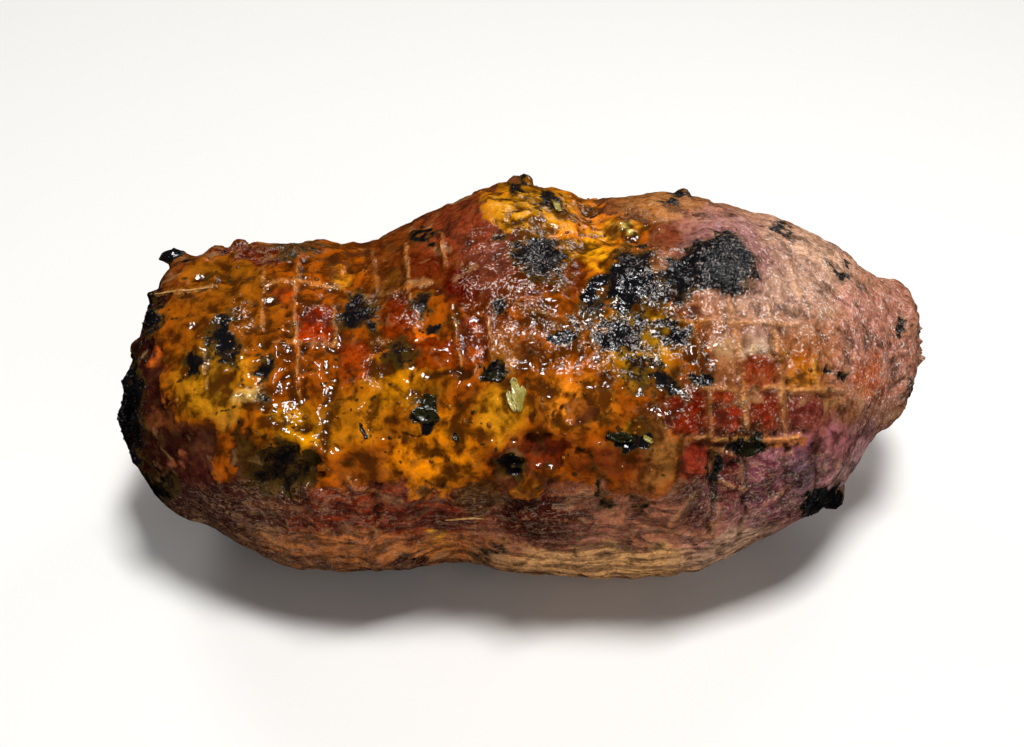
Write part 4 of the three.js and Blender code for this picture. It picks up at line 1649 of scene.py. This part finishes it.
HERB_LEAVES = (
    Blade((426, 415), 7.5, 4.5, 12, 0.25, 0.5, crumple=0.3),
    Blade((428, 402), 5.0, 3.4, 70, 0.2, 0.4, crumple=0.25),
    Blade((620, 438), 7.0, 3.6, 8, 0.4, 0.8, crumple=0.3),
    Blade((748, 447), 9.0, 5.0, -14, 0.4, 0.7, crumple=0.2),
    Blade((363, 431), 4.5, 0.8, 62, 0.2, 0.2),
    Blade((495, 376), 5.0, 3.0, 15, 0.2, 0.5, crumple=0.3),
    Blade((456, 437), 2.6, 1.8, 40, 0.3, 0.3),
)
LEEK_SHREDS = (
    Blade((516, 392), 7.5, 1.9, 82, 0.4, 0.5, 0.3),
    Blade((521, 399), 6.5, 1.5, 100, 0.5, 0.4, 0.3),
    Blade((511, 401), 5.5, 1.4, 70, 0.3, 0.4, 0.3),
    Blade((557, 209), 3.6, 1.4, 70, 0.5, 0.6, 0.3),
    Blade((648, 439), 3.0, 1.2, 30, 0.3, 0.4, 0.3),
)


@dataclass(frozen=True)
class Blades:
    """Leaves or shreds laid on the skin, each cut from a grid, cupped and given a thickness."""

    name: str
    blades: tuple[Blade, ...]
    finish: MorselFinish
    view: PhotoView
    thickness: float = 0.4 * MM
    seed: int = 3

    def build(self, tree: BVHTree) -> bpy.types.Object:
        """Makes the piece.

        Args:
            tree: Search tree of the skin.

        Returns:
            The piece.
        """
        draw, work = np.random.default_rng(self.seed), bmesh.new()
        shades: list[float] = []
        for blade in self.blades:
            seat, up, _, _ = tree.ray_cast(*self.view.line_of_sight(blade.at))
            across = Vector((1, 0, 0)) - up * up.x
            across.normalize()
            along = Quaternion(up, math.radians(-blade.turn)) @ across
            beside = up.cross(along)
            made = bmesh.ops.create_grid(work, x_segments=10, y_segments=6, size=1.0)["verts"]
            for vert in made:
                u, v = vert.co.x, vert.co.y
                reach = (1 - abs(u) ** 2.2) ** blade.point * (1 + draw.normal(0, 0.06))
                flat = seat + along * u * blade.length / 2 * MM + beside * v * reach * blade.width / 2 * MM
                nearest, normal, _, _ = tree.find_nearest(flat)
                rise = blade.lift + blade.cup * (v * v * 0.6 + 0.4 * u * u) + draw.normal(0, blade.crumple)
                vert.co = nearest + normal * rise * MM
            shades.append(draw.uniform(0.1, 0.9))
        faces = list(work.faces)
        bmesh.ops.solidify(work, geom=faces, thickness=self.thickness)
        bmesh.ops.recalc_face_normals(work, faces=work.faces)
        piece = piece_of(work, self.name)
        points = read_points(piece.data)
        near = np.array([tree.ray_cast(*self.view.line_of_sight(b.at))[0] for b in self.blades]) / MM
        owner = np.argmin(np.linalg.norm(points[:, None] - near[None], axis=2), axis=1)
        write_layer(piece.data, "shade", np.array(shades)[owner])
        piece.data.materials.append(self.finish.material())
        return piece


# Routes of the dried strands that stand proud of the skin, by the pixels that they pass.
THREADS = (
    ((142, 295), (158, 294), (176, 291), (196, 290), (214, 287)),
    ((443, 520), (458, 519), (474, 518), (487, 519)),
)


@dataclass(frozen=True)
class SinewThreads:
    """Thin dried strands, each a tube with its ends tapered, laid along a route on the skin."""

    view: PhotoView
    radius: float = 0.3 * MM
    sides: int = 7
    seed: int = 9
    steps: int = 8

    def build(self, tree: BVHTree) -> bpy.types.Object:
        """Makes the piece.

        Args:
            tree: Search tree of the skin.

        Returns:
            The piece.
        """
        draw, work = np.random.default_rng(self.seed), bmesh.new()
        for pixels in THREADS:
            route: list[Vector] = []
            for first, second in zip(pixels, pixels[1:]):
                for part in np.linspace(0, 1, self.steps, endpoint=False):
                    pixel = tuple(a + (b - a) * part for a, b in zip(first, second))
                    seat, up, _, _ = tree.ray_cast(*self.view.line_of_sight(pixel))
                    if seat is not None:
                        route.append(seat + up * draw.uniform(0.1, 0.5) * self.radius)
            self._tube(work, self._smoothed(route), draw)
        bmesh.ops.recalc_face_normals(work, faces=work.faces)
        piece = piece_of(work, "sinew_threads")
        write_layer(piece.data, "shade", draw.uniform(0.2, 1, len(piece.data.vertices)))
        piece.data.materials.append(SINEW_FINISH.material())
        return piece

    def _smoothed(self, route: list[Vector]) -> list[Vector]:
        """Each point of a route moved to the mean of itself and two neighbours on either side."""
        near = [route[max(0, i - 2) : i + 3] for i in range(len(route))]
        return [sum(points, Vector()) / len(points) for points in near]

    def _edges_of(self, rings: tuple[list[bmesh.types.BMVert], ...]) -> list[bmesh.types.BMEdge]:
        """The edges that run round some rings, each once."""
        found = [dict.fromkeys(e for vert in ring for e in vert.link_edges) for ring in rings]
        return [e for edges, ring in zip(found, rings) for e in edges if all(v in ring for v in e.verts)]

    def _tube(self, work: bmesh.types.BMesh, route: list[Vector], draw: np.random.Generator) -> None:
        """Draws rings along a route and joins them.

        Args:
            work: The bmesh that gets the tube.
            route: Points of its middle.
            draw: Source of its unevenness.
        """
        rings = []
        for i, point in enumerate(route):
            ahead = route[min(i + 1, len(route) - 1)] - route[max(i - 1, 0)]
            taper = math.sin(math.pi * (i + 0.6) / (len(route) + 0.2)) ** 0.35
            size = self.radius * taper * draw.uniform(0.75, 1.15)
            turn = ahead.to_track_quat("Z", "Y").to_matrix().to_4x4()
            made = bmesh.ops.create_circle(
                work,
                cap_ends=i in (0, len(route) - 1),
                segments=self.sides,
                radius=size,
                matrix=Matrix.Translation(point) @ turn,
            )
            rings.append(made["verts"])
        for pair in zip(rings, rings[1:]):
            bmesh.ops.bridge_loops(work, edges=self._edges_of(pair))


# The lamps: name, place in metres, side in metres, power in watts, and whether wet skin mirrors it.
LAMPS = (
    ("ceiling_lamp", (0.1, -0.15, 1.2), 0.3, 15.0, True),
    ("window", (-0.6, 0.85, 0.75), 0.35, 3.0, False),
    ("back_light", (0.6, 0.9, 0.7), 0.35, 2.0, True),
    ("front_fill", (0.55, -1.1, 0.55), 1.2, 4.5, False),
)


@dataclass
class Studio:
    """Pale floor and soft light round the roast. The floor and the sky don't show in the wet skin."""

    floor_side: float = 6.0
    floor_tone: str = "#eceae7"
    floor_roughness: float = 0.9
    sky_strength: float = 0.07
    aim: tuple[float, float, float] = (0.0, 0.0, 0.05)

    def floor(self) -> bpy.types.Object:
        """Lays the floor.

        Returns:
            The floor's object.
        """
        mesh = bpy.data.meshes.new("floor")
        work = bmesh.new()
        bmesh.ops.create_grid(work, x_segments=1, y_segments=1, size=self.floor_side / 2)
        work.to_mesh(mesh)
        work.free()
        material, _, shader = new_material("matt_paper")
        shader.inputs["Base Color"].default_value = linear(self.floor_tone)
        shader.inputs["Roughness"].default_value = self.floor_roughness
        mesh.materials.append(material)
        floor = bpy.data.objects.new("floor", mesh)
        floor.visible_glossy = False
        bpy.context.scene.collection.objects.link(floor)
        return floor

    def lamp(
        self, name: str, place: tuple[float, float, float], size: float, power: float
    ) -> bpy.types.Object:
        """Hangs a soft lamp that points at the roast.

        Args:
            name: The lamp's name.
            place: Where it hangs, in metres.
            size: Its side, in metres.
            power: Its power, in watts.

        Returns:
            The lamp.
        """
        data = bpy.data.lights.new(name, "AREA")
        data.shape, data.size, data.energy = "SQUARE", size, power
        lamp = bpy.data.objects.new(name, data)
        lamp.location = place
        aim = Vector(self.aim) - Vector(place)
        lamp.rotation_euler = aim.to_track_quat("-Z", "Y").to_euler()
        bpy.context.scene.collection.objects.link(lamp)
        return lamp

    def light(self) -> None:
        """Hangs the lamps and sets the sky and the view."""
        for name, place, size, power, mirrored in LAMPS:
            self.lamp(name, place, size, power).visible_glossy = mirrored
        world = bpy.data.worlds.new("soft_room")
        world.use_nodes = True
        sky = world.node_tree.nodes["Background"]
        sky.inputs["Color"].default_value = linear("#ffffff")
        sky.inputs["Strength"].default_value = self.sky_strength
        world.cycles_visibility.glossy = False
        bpy.context.scene.world = world
        bpy.context.scene.view_settings.view_transform = "Standard"


def main() -> None:
    """Builds the roast piece by piece and reports each one."""
    logging.basicConfig(level=logging.INFO, format="%(name)s: %(message)s")
    view, net = PhotoView(), NetLayout()
    view.place_camera()
    studio = Studio()
    studio.floor()
    studio.light()
    paint = PaintBox(view, net)
    roast = RoastSkin(paint)
    skin = roast.build()
    tree = search_tree(skin.data)
    pieces = [skin]
    pieces += [sprinkling.build(skin, roast.layers) for sprinkling in SPRINKLINGS]
    pieces.append(Blades("herb_leaves", HERB_LEAVES, HERB_FINISH, view).build(tree))
    pieces.append(Blades("leek_shreds", LEEK_SHREDS, LEEK_FINISH, view, seed=4).build(tree))
    pieces.append(SinewThreads(view).build(tree))
    for piece in pieces:
        log.info("%s: %d points, %d faces", piece.name, len(piece.data.vertices), len(piece.data.polygons))


if __name__ == "__main__":
    main()
